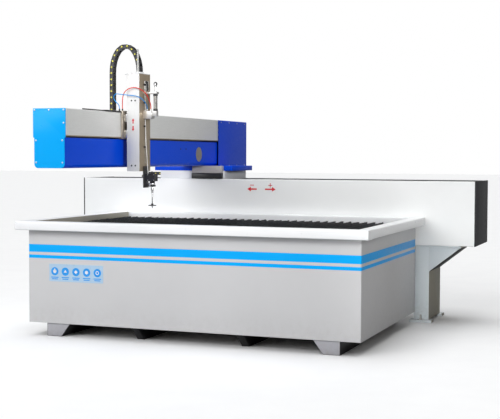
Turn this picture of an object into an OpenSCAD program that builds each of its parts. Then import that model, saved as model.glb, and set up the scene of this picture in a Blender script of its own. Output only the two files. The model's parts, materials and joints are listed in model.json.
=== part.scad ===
// Cantilever waterjet cutting machine: a water tank with a slatted bed, a long beam behind it,
// and an arm that travels along the beam with a vertical ram and a cutting head on its side.
// Millimetres. X along the beam, Y from front to back, Z up.
// Origin on the floor, at the tank's centre in X and at the arm's middle in Y.

/* [Tank] */
// Length of the tank casing along X
tank_l = 2700; // [2200:50:3200]
// Depth of the tank casing along Y
tank_d = 1700; // [1400:50:2000]
// Height of the rim's top face above the floor
tank_top = 900; // [850:10:950]
// Height of the rim tube
rim_h = 68; // [50:2:90]
// Width of the side and rear rim tubes
rim_w = 100; // [85:5:130]
// How far the rim stands out past the casing at the sides
rim_side_out = 70; // [50:5:80]
// How far the rim stands out past the casing at the front
rim_front_out = 85; // [50:5:110]
// How far the rim stands out past the casing at the rear
rim_rear_out = 48; // [30:2:60]
// Wall of the rim tube
rim_wall = 4; // [3:1:6]
// Sheet of the outer casing
casing_t = 3; // [2:0.5:5]
// Space between the outside of the casing and the inside of the liner
wall_depth = 30; // [20:1:50]
// Plate of the inner tank
liner_t = 5; // [4:1:8]
// Height of the inner tank's floor above the skids
floor_rise = 120; // [60:10:300]

/* [Slatted bed] */
// Distance between slats
slat_pitch = 70; // [50:5:100]
// Thickness of a slat
slat_t = 4; // [3:1:6]
// Height of a slat
slat_h = 100; // [80:5:130]
// Depth of the slat tops below the rim's top
slat_drop = 42; // [30:1:60]
// Height of the slotted bars that hold the slats
comb_h = 90; // [70:5:120]
// Thickness of the slotted bars
comb_t = 10; // [6:1:15]

/* [Skids] */
// Height of the skids
skid_h = 104; // [80:2:140]
// Width of a corner skid where it meets the casing
corner_skid_w = 208; // [150:2:260]
// Width of a corner skid on the floor
corner_skid_foot = 130; // [90:2:140]
// Distance from the casing's side to a corner skid
corner_skid_inset = 155; // [100:5:200]
// Width of a middle skid
middle_skid_w = 60; // [40:5:100]
// Distance of the middle skids from the tank's centre
middle_skid_x = 432; // [300:10:520]
// How far a middle skid's ends slope back
middle_skid_rake = 110; // [0:10:160]

/* [Beam] */
// Length of the beam
beam_l = 3690; // [3500:10:4000]
// Depth of the beam along Y
beam_d = 603; // [560:1:700]
// Height of the beam's underside above the floor
beam_z = 663; // [620:1:700]
// Height of the beam's cover
beam_h = 542; // [500:2:600]
// Sheet of the beam's covers
beam_sheet = 3; // [2:0.5:5]
// Inward fold at the top of the beam's covers
beam_lip = 24; // [15:1:40]
// Thickness of the beam's end caps
beam_cap_t = 12; // [5:1:20]

/* [Columns] */
// Distance of the columns from the tank's centre
column_x = 1377; // [1300:1:1450]
// Width of a column
column_w = 128; // [100:2:160]
// Depth of a column
column_d = 476; // [400:2:520]
// Reach of the gusset past the column
gusset_reach = 267; // [200:1:300]
// Height of the gusset
gusset_h = 209; // [160:1:260]
// Thickness of the top plate and the base plates
plate_t = 22; // [12:1:30]
// Width of a base plate
base_plate_w = 190; // [170:2:220]
// Depth of a base plate
base_plate_d = 92; // [80:2:120]
// Distance between the two anchor holes of a base plate
anchor_pitch = 156; // [150:2:166]
// Diameter of an anchor hole
anchor_hole_d = 14; // [12:1:16]

/* [Arm] */
// Length of the arm
arm_l = 3486; // [3200:2:3800]
// Reach of the arm in front of the tank casing
arm_front = 690; // [500:10:760]
// Place of the arm along the beam at rest
arm_x = -740; // [-900:10:-600]
// Height of the arm's underside
arm_z = 1322; // [1310:1:1340]
// Height of the lower cover
lower_cover_h = 216; // [180:2:220]
// Height of the slot band between the covers
slot_h = 18; // [16:1:24]
// Height of the upper cover above the slot
upper_cover_h = 189; // [185:1:230]
// Width of the lower cover
lower_cover_w = 246; // [240:2:280]
// Width of the upper cover
upper_cover_w = 264; // [262:2:300]
// Bend radius at the lower cover's bottom edges
lower_cover_r = 30; // [10:2:50]
// Sheet of the arm's covers
arm_sheet = 2; // [1.5:0.5:3]
// Length of the rear housing
rear_l = 720; // [500:10:800]
// How far the rear housing stands proud of the upper cover
rear_proud = 6; // [3:1:15]
// How far the rear housing drops below the arm
rear_drop = 20; // [10:1:30]
// Diameter of the round access plate
access_d = 130; // [80:5:160]

/* [Carriage on the beam] */
// Length of the carriage plate
carriage_l = 770; // [700:10:800]
// Depth of the carriage plate
carriage_d = 510; // [450:10:540]
// Thickness of the carriage plate
carriage_t = 44; // [30:2:60]
// Length of the riser
riser_l = 638; // [560:2:680]
// Width of the drive cover
drive_cover_l = 296; // [200:2:300]
// Depth of the drive cover in front of the carriage plate
drive_cover_d = 60; // [40:2:60]

/* [Ram] */
// Width of the ram across X
ram_w = 107; // [100:1:120]
// Depth of the ram along Y
ram_d = 188; // [180:2:220]
// Height of the ram's bottom end at rest
ram_z = 1292; // [1280:2:1300]
// Length of the ram
ram_l = 748; // [700:2:800]
// Wall of the ram
ram_wall = 6; // [5:1:10]
// Distance of the ram's face from the arm's upper cover
ram_gap = 46; // [44:1:60]
// Distance of the ram's axis from the tank's casing front
ram_y = 246; // [200:2:300]

/* [Cutting head] */
// Distance of the cutting head's axis from the ram's face
head_out = 63; // [58:1:80]
// Height of the nozzle's tip at rest
nozzle_z = 1005; // [1003:1:1030]
// Diameter of the splash disc
splash_d = 62; // [50:2:80]
// Diameter of the focusing tube
focus_d = 9; // [7:1:12]
// Diameter of the air cylinder's body
air_d = 28; // [24:1:36]
// Diameter of the air cylinder's rod
air_rod_d = 12; // [8:1:14]
// Distance of the air cylinder's axis from the ram's face
air_out = 92; // [85:1:110]

/* [Drives] */
// Running clearance of rails and shafts
run_clear = 0.05; // [0.02:0.01:0.1]
// Diameter of the X screw
x_screw_d = 32; // [25:1:36]
// Diameter of the Y screw
y_screw_d = 25; // [20:1:26]
// Diameter of the Z screw
z_screw_d = 16; // [12:1:20]
// Width of the X guide rails
x_rail_w = 30; // [20:1:35]
// Height of the X guide rails
x_rail_h = 25; // [20:1:30]
// Width of the Y guide rails
y_rail_w = 23; // [20:1:25]
// Height of the Y guide rails
y_rail_h = 18; // [15:1:20]
// Width of the Z guide rails
z_rail_w = 15; // [12:1:20]
// Height of the Z guide rails
z_rail_h = 13; // [10:1:15]

/* [Energy chains] */
// Height of a chain link across its bend
link_h = 30; // [24:1:36]
// Width of a chain
link_w = 53; // [40:1:60]
// Height of the ram chain's top above the ram
chain_rise = 221; // [180:1:260]
// Bend radius of the beam chain, to the link's middle
beam_chain_r = 60; // [50:1:62]

/* [Hidden] */
$fn = 64;

// Heights and faces of the tank
tank_front = -arm_l / 2 + arm_front;
tank_rear = tank_front + tank_d;
rim_z = tank_top - rim_h;
rim_front = tank_front - rim_front_out;
rim_rear = tank_rear + rim_rear_out;
rim_side = tank_l / 2 + rim_side_out;
open_side = tank_l / 2 + rim_side_out - rim_w;
open_front = tank_front + wall_depth;
open_rear = rim_rear - rim_w;
liner_side = open_side;
floor_z = skid_h + floor_rise;
weld_gap = 0.2;
casing_flange = 60;

// Slatted bed
slat_top = tank_top - slat_drop;
slat_z = slat_top - slat_h;
slat_span = 2 * (open_side - 25);
slat_count = floor(slat_span / slat_pitch) + 1;
slat_x0 = -(slat_count - 1) * slat_pitch / 2;
slat_notch = 50;
comb_top = slat_z + slat_notch;
comb_z = comb_top - comb_h;
comb_leg = 40;

// Beam and its inside
beam_front = rim_rear;
beam_rear = beam_front + beam_d;
beam_y = (beam_front + beam_rear) / 2;
beam_top = beam_z + beam_h;
beam_x = beam_l / 2;
core_top = beam_top - 85;
core_d = 460;
core_wall = 12;
core_right = beam_x - 285;
rail_y = 180;
x_block_h = 26;
x_block_top = core_top + x_rail_h + x_block_h;
x_screw_z = core_top + x_screw_d / 2 + 5;
bellows_t = 12;
bellows_z = beam_top - beam_sheet - bellows_t - 1;

// Columns
base_front_y = beam_front + 42;
column_front = base_front_y + 39;
column_rear = column_front + column_d;
base_rear_y = column_rear + 40 - base_plate_d;
level_d = 16;
level_front_y = base_front_y + 18;
level_rear_y = base_rear_y + base_plate_d - 18;

// Arm sections, from the bottom up
slot_z = arm_z + lower_cover_h;
upper_z = slot_z + slot_h;
arm_top = upper_z + upper_cover_h;
arm_front_y = -arm_l / 2;
arm_rear_y = arm_l / 2;
front_cap_t = 6;
screw_head_t = 3;
rear_y = arm_rear_y - rear_l;
arm_core_x0 = -lower_cover_w / 2 + lower_cover_r + 1;
arm_core_x1 = 42;
arm_core_top = arm_top - 45;
arm_core_rear = arm_rear_y - 440;
arm_core_wall = 8;

// Carriage
carriage_front = beam_front + 52;
carriage_z = arm_z - carriage_t;
riser_front = beam_front + beam_sheet + beam_lip + 6;
riser_rear = beam_rear - beam_sheet - beam_lip - 6;
drive_cover_x = 12;
drive_cover_split = 50;
drive_cover_lean = 12;

// Rails and screw of the arm, measured from the arm's centre
y_rail_low = slot_z + 52;
y_rail_high = arm_core_top - 18;
y_screw_z = (y_rail_low + y_rail_high) / 2;
y_screw_x = arm_core_x1 + y_screw_d / 2 + 4;
y_block_x = arm_core_x1 + y_rail_h + 12;
inner_plate_t = 12;
foot_t = 8;
foot_z = slot_z + 1.5;
seal_h = slot_h - foot_t - 3;

// Saddle and ram, measured from the arm's centre and the ram's axis
saddle_y = tank_front + ram_y;
saddle_half = 110;
outer_x0 = upper_cover_w / 2 + 5;
outer_t = 14;
ram_x0 = upper_cover_w / 2 + ram_gap;
ram_x1 = ram_x0 + ram_w;
ram_cx = ram_x0 + ram_w / 2;
ram_top = ram_z + ram_l;
z_rail_y = 60;
z_block_len = 60;
z_block_x1 = ram_x0 - 4;
nut_z = slot_z + 62;
ram_down = 140;
ram_up = 60;
tray_z = arm_top + 5;
tray_front = -346;
tray_rear = 60;
tray_left = -70;
chain_foot_h = 16;
chain_clamp_h = 18;

// Cutting head, measured from the arm's centre
head_x = ram_x1 + head_out;
air_x = ram_x1 + air_out;
bracket_t = 15;
valve_z0 = nozzle_z + 211;
valve_z1 = nozzle_z + 269;
air_z0 = 1756;
air_z1 = 1887;
air_eye_z = 1964;
air_lug_t = 15;
manifold_z0 = 1696;

// Energy chains
chain_left_x = ram_cx - 223;
chain_right_x = ram_cx + 11;
chain_bend_z = ram_top + 22;
chain_half = (chain_right_x - chain_left_x) / 2;
chain_mid_x = (chain_right_x + chain_left_x) / 2;
beam_chain_y = beam_rear + 6;
beam_chain_top = beam_top + 49;
beam_chain_mid_z = beam_chain_top - link_h / 2 - beam_chain_r;
beam_chain_bend_x = -1476;
beam_chain_anchor_x = 250;

// Shapes that several pieces use
module block(x0, x1, y0, y1, z0, z1) {
  translate([x0, y0, z0]) cube([x1 - x0, y1 - y0, z1 - z0]);
}

module rod_z(x, y, z0, z1, d) {
  translate([x, y, z0]) cylinder(h = z1 - z0, d = d);
}

module rod_x(y, z, x0, x1, d) {
  translate([x0, y, z]) rotate([0, 90, 0]) cylinder(h = x1 - x0, d = d);
}

module rod_y(x, z, y0, y1, d) {
  translate([x, y1, z]) rotate([90, 0, 0]) cylinder(h = y1 - y0, d = d);
}

// An outline drawn in X and Z, run along Y
module along_y(y0, y1) {
  translate([0, y1, 0]) rotate([90, 0, 0]) linear_extrude(height = y1 - y0) children();
}

// An outline drawn in Y and Z, run along X
module along_x(x0, x1) {
  translate([x0, 0, 0]) rotate([90, 0, 90]) linear_extrude(height = x1 - x0) children();
}

module box_tube_x(x0, x1, y0, y1, z0, z1, wall) {
  difference() {
    block(x0, x1, y0, y1, z0, z1);
    block(x0 - 1, x1 + 1, y0 + wall, y1 - wall, z0 + wall, z1 - wall);
  }
}

module box_tube_y(x0, x1, y0, y1, z0, z1, wall) {
  difference() {
    block(x0, x1, y0, y1, z0, z1);
    block(x0 + wall, x1 - wall, y0 - 1, y1 + 1, z0 + wall, z1 - wall);
  }
}

// A square servo motor with a flange at its front and a terminal box on top, pointing along +Z
module servo(size, body_l) {
  translate([-size / 2, -size / 2, 0]) cube([size, size, 12]);
  translate([-size * 0.44, -size * 0.44, 12]) cube([size * 0.88, size * 0.88, body_l - 12]);
  translate([-size * 0.2, size * 0.44, body_l * 0.6]) cube([size * 0.4, size * 0.12, body_l * 0.25]);
}

// Tube swept along a list of points whose direction never runs along Y
function unit(v) = v / norm(v);
function path_dir(p, i) = unit(p[min(i + 1, len(p) - 1)] - p[max(i - 1, 0)]);
function ring(p, i, r, n) =
  let (t = path_dir(p, i), u = unit(cross(t, [0, 1, 0])), v = cross(t, u))
  [for (k = [0 : n - 1]) p[i] + r * (cos(360 * k / n) * u + sin(360 * k / n) * v)];
function spline_point(a, b, c, d, s) =
  0.5 * (2 * b + (c - a) * s + (2 * a - 5 * b + 4 * c - d) * s * s + (3 * b - a - 3 * c + d) * s * s * s);
function spline(p, steps) = concat(
  [for (i = [0 : len(p) - 2], k = [0 : steps - 1])
    spline_point(p[max(i - 1, 0)], p[i], p[i + 1], p[min(i + 2, len(p) - 1)], k / steps)],
  [p[len(p) - 1]]);

module hose(points, d) {
  n = 8;
  p = concat([points[0]], spline([for (i = [1 : len(points) - 2]) points[i]], 3),
             [points[len(points) - 1]]);
  m = len(p);
  rings = [for (i = [0 : m - 1]) each ring(p, i, d / 2, n)];
  sides = [for (i = [0 : m - 2], k = [0 : n - 1])
    [i * n + k, i * n + (k + 1) % n, (i + 1) * n + (k + 1) % n, (i + 1) * n + k]];
  ends = [[for (k = [n - 1 : -1 : 0]) k], [for (k = [0 : n - 1]) (m - 1) * n + k]];
  polyhedron(points = rings, faces = concat(sides, ends));
}

// ---- Tank ----

module tank_casing() {
  color("gainsboro") {
    for (s = [-1, 1]) {
      face = s < 0 ? tank_front : tank_rear;
      along_x(-tank_l / 2, tank_l / 2)
        polygon([[face, skid_h], [face, rim_z], [face - s * casing_t, rim_z],
                 [face - s * casing_t, skid_h + casing_t], [face - s * casing_flange, skid_h + casing_t],
                 [face - s * casing_flange, skid_h]]);
    }
    for (s = [-1, 1]) {
      x = s * (tank_l / 2 - casing_t / 2);
      block(x - casing_t / 2, x + casing_t / 2, tank_front + casing_t + weld_gap,
            tank_rear - casing_t - weld_gap, skid_h + casing_t + weld_gap, rim_z);
    }
  }
}

module tank_liner() {
  color("slategray") {
    block(-liner_side - liner_t, liner_side + liner_t, open_front - liner_t, open_front, floor_z, rim_z);
    block(-liner_side - liner_t, liner_side + liner_t, open_rear, open_rear + liner_t, floor_z, rim_z);
    for (s = [-1, 1]) {
      x = s * (liner_side + liner_t / 2);
      block(x - liner_t / 2, x + liner_t / 2, open_front + weld_gap, open_rear - weld_gap, floor_z, rim_z);
    }
  }
}

module tank_floor() {
  color("slategray")
    block(-tank_l / 2 + casing_t, tank_l / 2 - casing_t, tank_front + casing_t, tank_rear - casing_t,
          floor_z - liner_t, floor_z);
}

module tank_rim() {
  side_y0 = tank_front + wall_depth;
  color("white") {
    box_tube_x(-rim_side, rim_side, rim_front, side_y0, rim_z, tank_top, rim_wall);
    box_tube_x(-rim_side, rim_side, open_rear, rim_rear, rim_z, tank_top, rim_wall);
    for (s = [-1, 1]) {
      x = s * (rim_side - rim_w / 2);
      box_tube_y(x - rim_w / 2, x + rim_w / 2, side_y0 + weld_gap, open_rear - weld_gap,
                 rim_z, tank_top, rim_wall);
    }
  }
}

module rim_end_caps() {
  cap_in = 2;
  cap_l = 10;
  fit = 0.2;
  color("dimgray")
    for (s = [-1, 1]) {
      x0 = s > 0 ? rim_side - cap_l - cap_in : -rim_side + cap_in;
      block(x0, x0 + cap_l, rim_front + rim_wall + fit, open_front - rim_wall - fit,
            rim_z + rim_wall + fit, tank_top - rim_wall - fit);
      block(x0, x0 + cap_l, open_rear + rim_wall + fit, rim_rear - rim_wall - fit,
            rim_z + rim_wall + fit, tank_top - rim_wall - fit);
    }
}

module skids() {
  y0 = tank_front + 15;
  y1 = tank_rear - 15;
  outer = tank_l / 2 - corner_skid_inset;
  color("gray") {
    for (s = [-1, 1]) {
      along_y(y0, y1)
        polygon([[s * outer, 0], [s * (outer - corner_skid_foot), 0],
                 [s * (outer - corner_skid_w), skid_h], [s * outer, skid_h]]);
      along_x(s * middle_skid_x - middle_skid_w / 2, s * middle_skid_x + middle_skid_w / 2)
        polygon([[y0 + middle_skid_rake, 0], [y1 - middle_skid_rake, 0], [y1, skid_h], [y0, skid_h]]);
    }
  }
}

module slats() {
  color("saddlebrown")
    for (i = [0 : slat_count - 1]) {
      x = slat_x0 + i * slat_pitch;
      block(x - slat_t / 2, x + slat_t / 2, open_front + 4, open_rear - 4, slat_z, slat_top);
    }
}

module slat_combs() {
  notch_w = slat_t + 0.6;
  color("saddlebrown")
    for (y = [open_front + 40, (open_front + open_rear) / 2, open_rear - 40 - comb_t]) {
      difference() {
        union() {
          block(-liner_side + 1, liner_side - 1, y, y + comb_t, comb_z, comb_top);
          for (s = [-1, 0, 1]) {
            x = s * (liner_side - comb_leg);
            block(x - comb_leg / 2, x + comb_leg / 2, y, y + comb_t, floor_z, comb_z + 1);
          }
        }
        for (i = [0 : slat_count - 1]) {
          x = slat_x0 + i * slat_pitch;
          block(x - notch_w / 2, x + notch_w / 2, y - 1, y + comb_t + 1, slat_z, comb_top + 1);
        }
      }
    }
}

// ---- Beam ----

module beam_core() {
  color("silver")
    box_tube_x(-beam_x + beam_cap_t + 40, core_right, beam_y - core_d / 2, beam_y + core_d / 2,
               beam_z + beam_sheet, core_top, core_wall);
}

// Each cover is a tall sheet with a fold at the top and one at the bottom that reaches the core
module beam_covers() {
  bottom_fold = (beam_d - core_d) / 2 + 20;
  color("whitesmoke")
    for (s = [-1, 1]) {
      face = beam_y + s * beam_d / 2;
      along_x(-beam_x + beam_cap_t, beam_x - beam_cap_t)
        polygon([[face, beam_z], [face, beam_top],
                 [face - s * (beam_sheet + beam_lip), beam_top],
                 [face - s * (beam_sheet + beam_lip), beam_top - beam_sheet],
                 [face - s * beam_sheet, beam_top - beam_sheet],
                 [face - s * beam_sheet, beam_z + beam_sheet],
                 [face - s * bottom_fold, beam_z + beam_sheet],
                 [face - s * bottom_fold, beam_z]]);
    }
}

module beam_end_caps() {
  color("#2b2d33")
    for (s = [-1, 1]) {
      x = s * (beam_x - beam_cap_t / 2);
      block(x - beam_cap_t / 2, x + beam_cap_t / 2, beam_front, beam_rear, beam_z, beam_top);
    }
}

module bellows(x0, x1) {
  color("#26282c")
    block(x0, x1, beam_front + beam_sheet + 1, beam_rear - beam_sheet - 1, bellows_z, bellows_z + bellows_t);
}

module bellows_left() {
  bellows(-beam_x + beam_cap_t, arm_x - riser_l / 2);
}

module bellows_right() {
  bellows(arm_x + riser_l / 2, beam_x - beam_cap_t);
}

module x_rails() {
  color("silver")
    for (s = [-1, 1])
      block(-beam_x + beam_cap_t + 45, core_right - 5, beam_y + s * rail_y - x_rail_w / 2,
            beam_y + s * rail_y + x_rail_w / 2, core_top, core_top + x_rail_h);
}

module x_screw() {
  color("lightsteelblue")
    rod_x(beam_y, x_screw_z, -beam_x + beam_cap_t + 50, core_right - 2, x_screw_d);
}

module x_screw_bearings() {
  bearing_l = 50;
  color("dimgray")
    for (x = [-beam_x + beam_cap_t + 60, core_right - bearing_l])
      difference() {
        block(x, x + bearing_l, beam_y - 45, beam_y + 45, core_top, x_screw_z + 28);
        rod_x(beam_y, x_screw_z, x - 1, x + bearing_l + 1, x_screw_d + 2 * run_clear);
      }
}

module x_servo() {
  color("#303236")
    translate([core_right, beam_y, x_screw_z]) rotate([0, 90, 0]) servo(85, 190);
}

// ---- Columns under the beam ----

module beam_columns() {
  color("lightsteelblue")
    for (s = [-1, 1]) {
      difference() {
        union() {
          block(s * column_x - column_w / 2, s * column_x + column_w / 2, column_front, column_rear,
                plate_t, beam_z - plate_t);
          for (y = [base_front_y, base_rear_y])
            block(s * column_x - base_plate_w / 2, s * column_x + base_plate_w / 2, y, y + base_plate_d,
                  0, plate_t);
          block(min(s * (column_x - column_w / 2), s * (column_x + column_w / 2 + gusset_reach)),
                max(s * (column_x - column_w / 2), s * (column_x + column_w / 2 + gusset_reach)),
                column_front, column_rear, beam_z - plate_t, beam_z);
        }
        block(s * column_x - column_w / 2 + 8, s * column_x + column_w / 2 - 8, column_front + 8,
              column_rear - 8, -1, beam_z - plate_t);
        for (y = [base_front_y, base_rear_y], t = [-1, 1])
          rod_z(s * column_x + t * anchor_pitch / 2, y + base_plate_d / 2, -1, plate_t + 1, anchor_hole_d);
        for (y = [level_front_y, level_rear_y])
          rod_z(s * column_x, y, -1, plate_t + 1, level_d + 2 * run_clear);
      }
    }
}

module column_gussets() {
  color("lightsteelblue")
    for (s = [-1, 1]) {
      x0 = s * (column_x + column_w / 2);
      top = beam_z - plate_t;
      along_y(column_front, column_rear)
        polygon([[x0, top], [x0, top - gusset_h], [x0 + s * gusset_reach, top]]);
    }
}

// Screws that level the columns, one in the free edge of each base plate
module levelling_screws() {
  color("gray")
    for (s = [-1, 1], y = [level_front_y, level_rear_y])
      translate([s * column_x, y, 0]) {
        cylinder(h = plate_t + 45, d = level_d);
        translate([0, 0, plate_t]) cylinder(h = 12, d = level_d * 1.6, $fn = 6);
      }
}

// ---- Beam energy chain ----

module beam_chain_trough() {
  z0 = beam_chain_mid_z - beam_chain_r - link_h / 2 - 4;
  x0 = -beam_x + beam_cap_t + 10;
  color("gainsboro")
    along_x(x0, beam_x - 900)
      polygon([[beam_rear, z0 - 3], [beam_rear + link_w + 14, z0 - 3], [beam_rear + link_w + 14, z0 + 45],
               [beam_rear + link_w + 11, z0 + 45], [beam_rear + link_w + 11, z0], [beam_rear, z0]]);
}

module beam_chain() {
  z = beam_chain_mid_z;
  r = beam_chain_r;
  end_x = arm_x - 225;
  color("#303236")
    along_y(beam_chain_y, beam_chain_y + link_w) {
      difference() {
        translate([beam_chain_bend_x, z]) circle(r = r + link_h / 2);
        translate([beam_chain_bend_x, z]) circle(r = r - link_h / 2);
        translate([beam_chain_bend_x, z - 2 * r]) square([4 * r, 4 * r]);
      }
      translate([beam_chain_bend_x, z + r - link_h / 2]) square([end_x - beam_chain_bend_x, link_h]);
      translate([beam_chain_bend_x, z - r - link_h / 2])
        square([beam_chain_anchor_x - beam_chain_bend_x, link_h]);
    }
}

// ---- Carriage on the beam ----

// A guide block that straddles its rail. The outline is across the rail: the rail stands on z = 0.
module rail_saddle(rail_w, rail_h, wide, low, high) {
  difference() {
    translate([-wide / 2, low]) square([wide, high - low]);
    translate([-rail_w / 2 - run_clear, low - 1]) square([rail_w + 2 * run_clear, rail_h - low + 1 + run_clear]);
  }
}

module x_blocks() {
  block_l = 110;
  color("dimgray")
    for (s = [-1, 1], t = [-1, 1])
      translate([arm_x + t * (riser_l / 2 - block_l / 2 - 10), beam_y + s * rail_y, core_top])
        along_x(-block_l / 2, block_l / 2)
          rail_saddle(x_rail_w, x_rail_h, 90, 8, x_block_top - core_top);
}

module x_nut() {
  color("dimgray")
    difference() {
      block(arm_x - 60, arm_x + 60, beam_y - 42, beam_y + 42, core_top + 2, x_block_top);
      rod_x(beam_y, x_screw_z, arm_x - 61, arm_x + 61, x_screw_d + 2 * run_clear);
    }
}

module carriage_riser() {
  hollow = 16;
  color("whitesmoke")
    difference() {
      block(arm_x - riser_l / 2, arm_x + riser_l / 2, riser_front, riser_rear, x_block_top, carriage_z);
      block(arm_x - riser_l / 2 + hollow, arm_x + riser_l / 2 - hollow, riser_front + hollow,
            riser_rear - hollow, x_block_top + hollow, carriage_z + 1);
    }
}

// The plate is relieved under the arm's rear housing, and has an arm at the back for the chain's end
module carriage_plate() {
  recess = upper_cover_w / 2 + rear_proud + screw_head_t + 2;
  color("royalblue") {
    difference() {
      block(arm_x - carriage_l / 2, arm_x + carriage_l / 2, carriage_front, carriage_front + carriage_d,
            carriage_z, arm_z);
      block(arm_x - recess, arm_x + recess, rear_y - 2, carriage_front + carriage_d + 1,
            arm_z - rear_drop, arm_z + 1);
    }
    block(arm_x - 265, arm_x - 185, carriage_front + carriage_d, beam_chain_y + link_w,
          carriage_z, carriage_z + 8);
    block(arm_x - 225, arm_x - 217, beam_chain_y, beam_chain_y + link_w,
          beam_chain_top - link_h, carriage_z);
  }
}

module drive_cover_base() {
  x0 = arm_x + drive_cover_x;
  z0 = beam_top + 2;
  color("#1e1e20")
    block(x0, x0 + drive_cover_l, carriage_front - drive_cover_d, riser_front, z0, z0 + drive_cover_split);
}

module drive_cover_lid() {
  x0 = arm_x + drive_cover_x;
  z0 = beam_top + 2 + drive_cover_split;
  y0 = carriage_front - drive_cover_d;
  color("gray")
    along_x(x0 + 2, x0 + drive_cover_l - 2)
      polygon([[y0 + 2, z0], [riser_front, z0], [riser_front, carriage_z], [carriage_front, carriage_z],
               [carriage_front, arm_z], [y0 + 2 + drive_cover_lean, arm_z]]);
}

// ---- Arm ----

module arm_core() {
  color("silver")
    box_tube_y(arm_x + arm_core_x0, arm_x + arm_core_x1, arm_front_y + front_cap_t, arm_core_rear,
               arm_z + arm_sheet, arm_core_top, arm_core_wall);
}

// Half outline of the lower cover's outside, from the bottom centre up to a height
module lower_outline(half, top, r) {
  translate([arm_x, 0]) {
    difference() {
      translate([-half, arm_z]) square([2 * half, top - arm_z]);
      for (s = [-1, 1]) difference() {
        translate([s > 0 ? half - r : -half - 1, arm_z - 1]) square([r + 1, r + 1]);
        translate([s * (half - r), arm_z + r]) circle(r = r);
      }
    }
  }
}

module arm_lower_cover() {
  half = lower_cover_w / 2;
  color("mediumblue")
    along_y(arm_front_y + front_cap_t, rear_y)
      difference() {
        lower_outline(half, slot_z, lower_cover_r);
        translate([0, arm_sheet]) lower_outline(half - arm_sheet, slot_z + 1, lower_cover_r - arm_sheet);
      }
}

module arm_upper_cover() {
  half = upper_cover_w / 2;
  t = arm_sheet;
  color("lightgray")
    along_y(arm_front_y + front_cap_t, rear_y)
      translate([arm_x, 0])
        polygon([[-half, slot_z], [-half, arm_top], [half, arm_top], [half, upper_z],
                 [half - t, upper_z], [half - t, arm_top - t], [-half + t, arm_top - t],
                 [-half + t, slot_z + t], [-lower_cover_w / 2 + 20, slot_z + t],
                 [-lower_cover_w / 2 + 20, slot_z]]);
}

module slot_seal() {
  half = upper_cover_w / 2;
  color("tan")
    block(arm_x + half - arm_sheet - 4, arm_x + half - arm_sheet, arm_front_y + front_cap_t, rear_y,
          upper_z - seal_h, upper_z + 20);
}

module arm_rear_housing() {
  half = upper_cover_w / 2 + rear_proud;
  t = arm_sheet;
  color("mediumblue")
    difference() {
      block(arm_x - half, arm_x + half, rear_y, arm_rear_y, arm_z - rear_drop, arm_top);
      block(arm_x - half + t, arm_x + half - t, rear_y - 1, arm_rear_y - t,
            arm_z - rear_drop + t, arm_top - t);
    }
}

module arm_front_cap() {
  upper_half = upper_cover_w / 2;
  lower_half = lower_cover_w / 2;
  color("dodgerblue") {
    along_y(arm_front_y, arm_front_y + front_cap_t) {
      lower_outline(lower_half, slot_z, lower_cover_r);
      translate([arm_x - upper_half, slot_z]) square([2 * upper_half, arm_top - slot_z]);
    }
  }
}

// Round heads on the front cap, and on the back and sides of the rear housing
module arm_screws() {
  head_d = 12;
  head_t = screw_head_t;
  upper_half = upper_cover_w / 2 - 14;
  lower_half = lower_cover_w / 2 - 16;
  mid = (slot_z + arm_top) / 2;
  low = arm_z + 40;
  spots = [[-upper_half, arm_top - 12], [0, arm_top - 12], [upper_half, arm_top - 12],
           [upper_half, mid], [-lower_half, slot_z - 20], [lower_half, slot_z - 20],
           [-lower_half, low], [lower_half, low]];
  half = upper_cover_w / 2 + rear_proud;
  color("silver") {
    for (p = spots) rod_y(arm_x + p[0], p[1], arm_front_y - head_t, arm_front_y, head_d);
    for (s = [-1, 1], z = [low, arm_top - 20])
      rod_y(arm_x + s * upper_half, z, arm_rear_y, arm_rear_y + head_t, head_d);
    for (s = [-1, 1], y = [rear_y + 60 : 200 : arm_rear_y - 40], z = [arm_z - rear_drop + 20, arm_top - 20])
      rod_x(y, z, s > 0 ? arm_x + half : arm_x - half - head_t, s > 0 ? arm_x + half + head_t : arm_x - half,
            head_d);
  }
}

module access_plate() {
  x = arm_x + lower_cover_w / 2;
  color("tan")
    rod_x(tank_front + 1653, arm_z + 103, x, x + 3, access_d);
}

module y_rails() {
  color("silver")
    for (z = [y_rail_low, y_rail_high])
      block(arm_x + arm_core_x1, arm_x + arm_core_x1 + y_rail_h, arm_front_y + 30, arm_core_rear - 5,
            z - y_rail_w / 2, z + y_rail_w / 2);
}

module y_screw() {
  color("lightsteelblue")
    rod_y(arm_x + y_screw_x, y_screw_z, arm_front_y + 40, arm_core_rear - 2, y_screw_d);
}

module y_screw_bearings() {
  bearing_l = 40;
  color("dimgray")
    for (y = [arm_front_y + 45, arm_core_rear - bearing_l])
      difference() {
        block(arm_x + arm_core_x1, arm_x + y_screw_x + 26, y, y + bearing_l, y_screw_z - 24, y_screw_z + 24);
        rod_y(arm_x + y_screw_x, y_screw_z, y - 1, y + bearing_l + 1, y_screw_d + 2 * run_clear);
      }
}

module y_servo() {
  color("#303236")
    translate([arm_x + y_screw_x, arm_core_rear, y_screw_z]) rotate([-90, 0, 0]) servo(80, 180);
}

// ---- Saddle on the arm ----

module y_blocks() {
  block_l = 80;
  color("dimgray")
    for (z = [y_rail_low, y_rail_high], t = [-1, 1])
      translate([arm_x + arm_core_x1, saddle_y + t * 60, z])
        rotate([0, 90, 0])
          along_y(-block_l / 2, block_l / 2)
            rail_saddle(y_rail_w, y_rail_h, 42, 6, y_block_x - arm_core_x1);
}

module y_nut() {
  x1 = arm_x + y_block_x;
  color("dimgray")
    difference() {
      block(arm_x + arm_core_x1 + 1, x1, saddle_y - 35, saddle_y + 35, y_screw_z - 22, y_screw_z + 22);
      rod_y(arm_x + y_screw_x, y_screw_z, saddle_y - 36, saddle_y + 36, y_screw_d + 2 * run_clear);
    }
}

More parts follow.
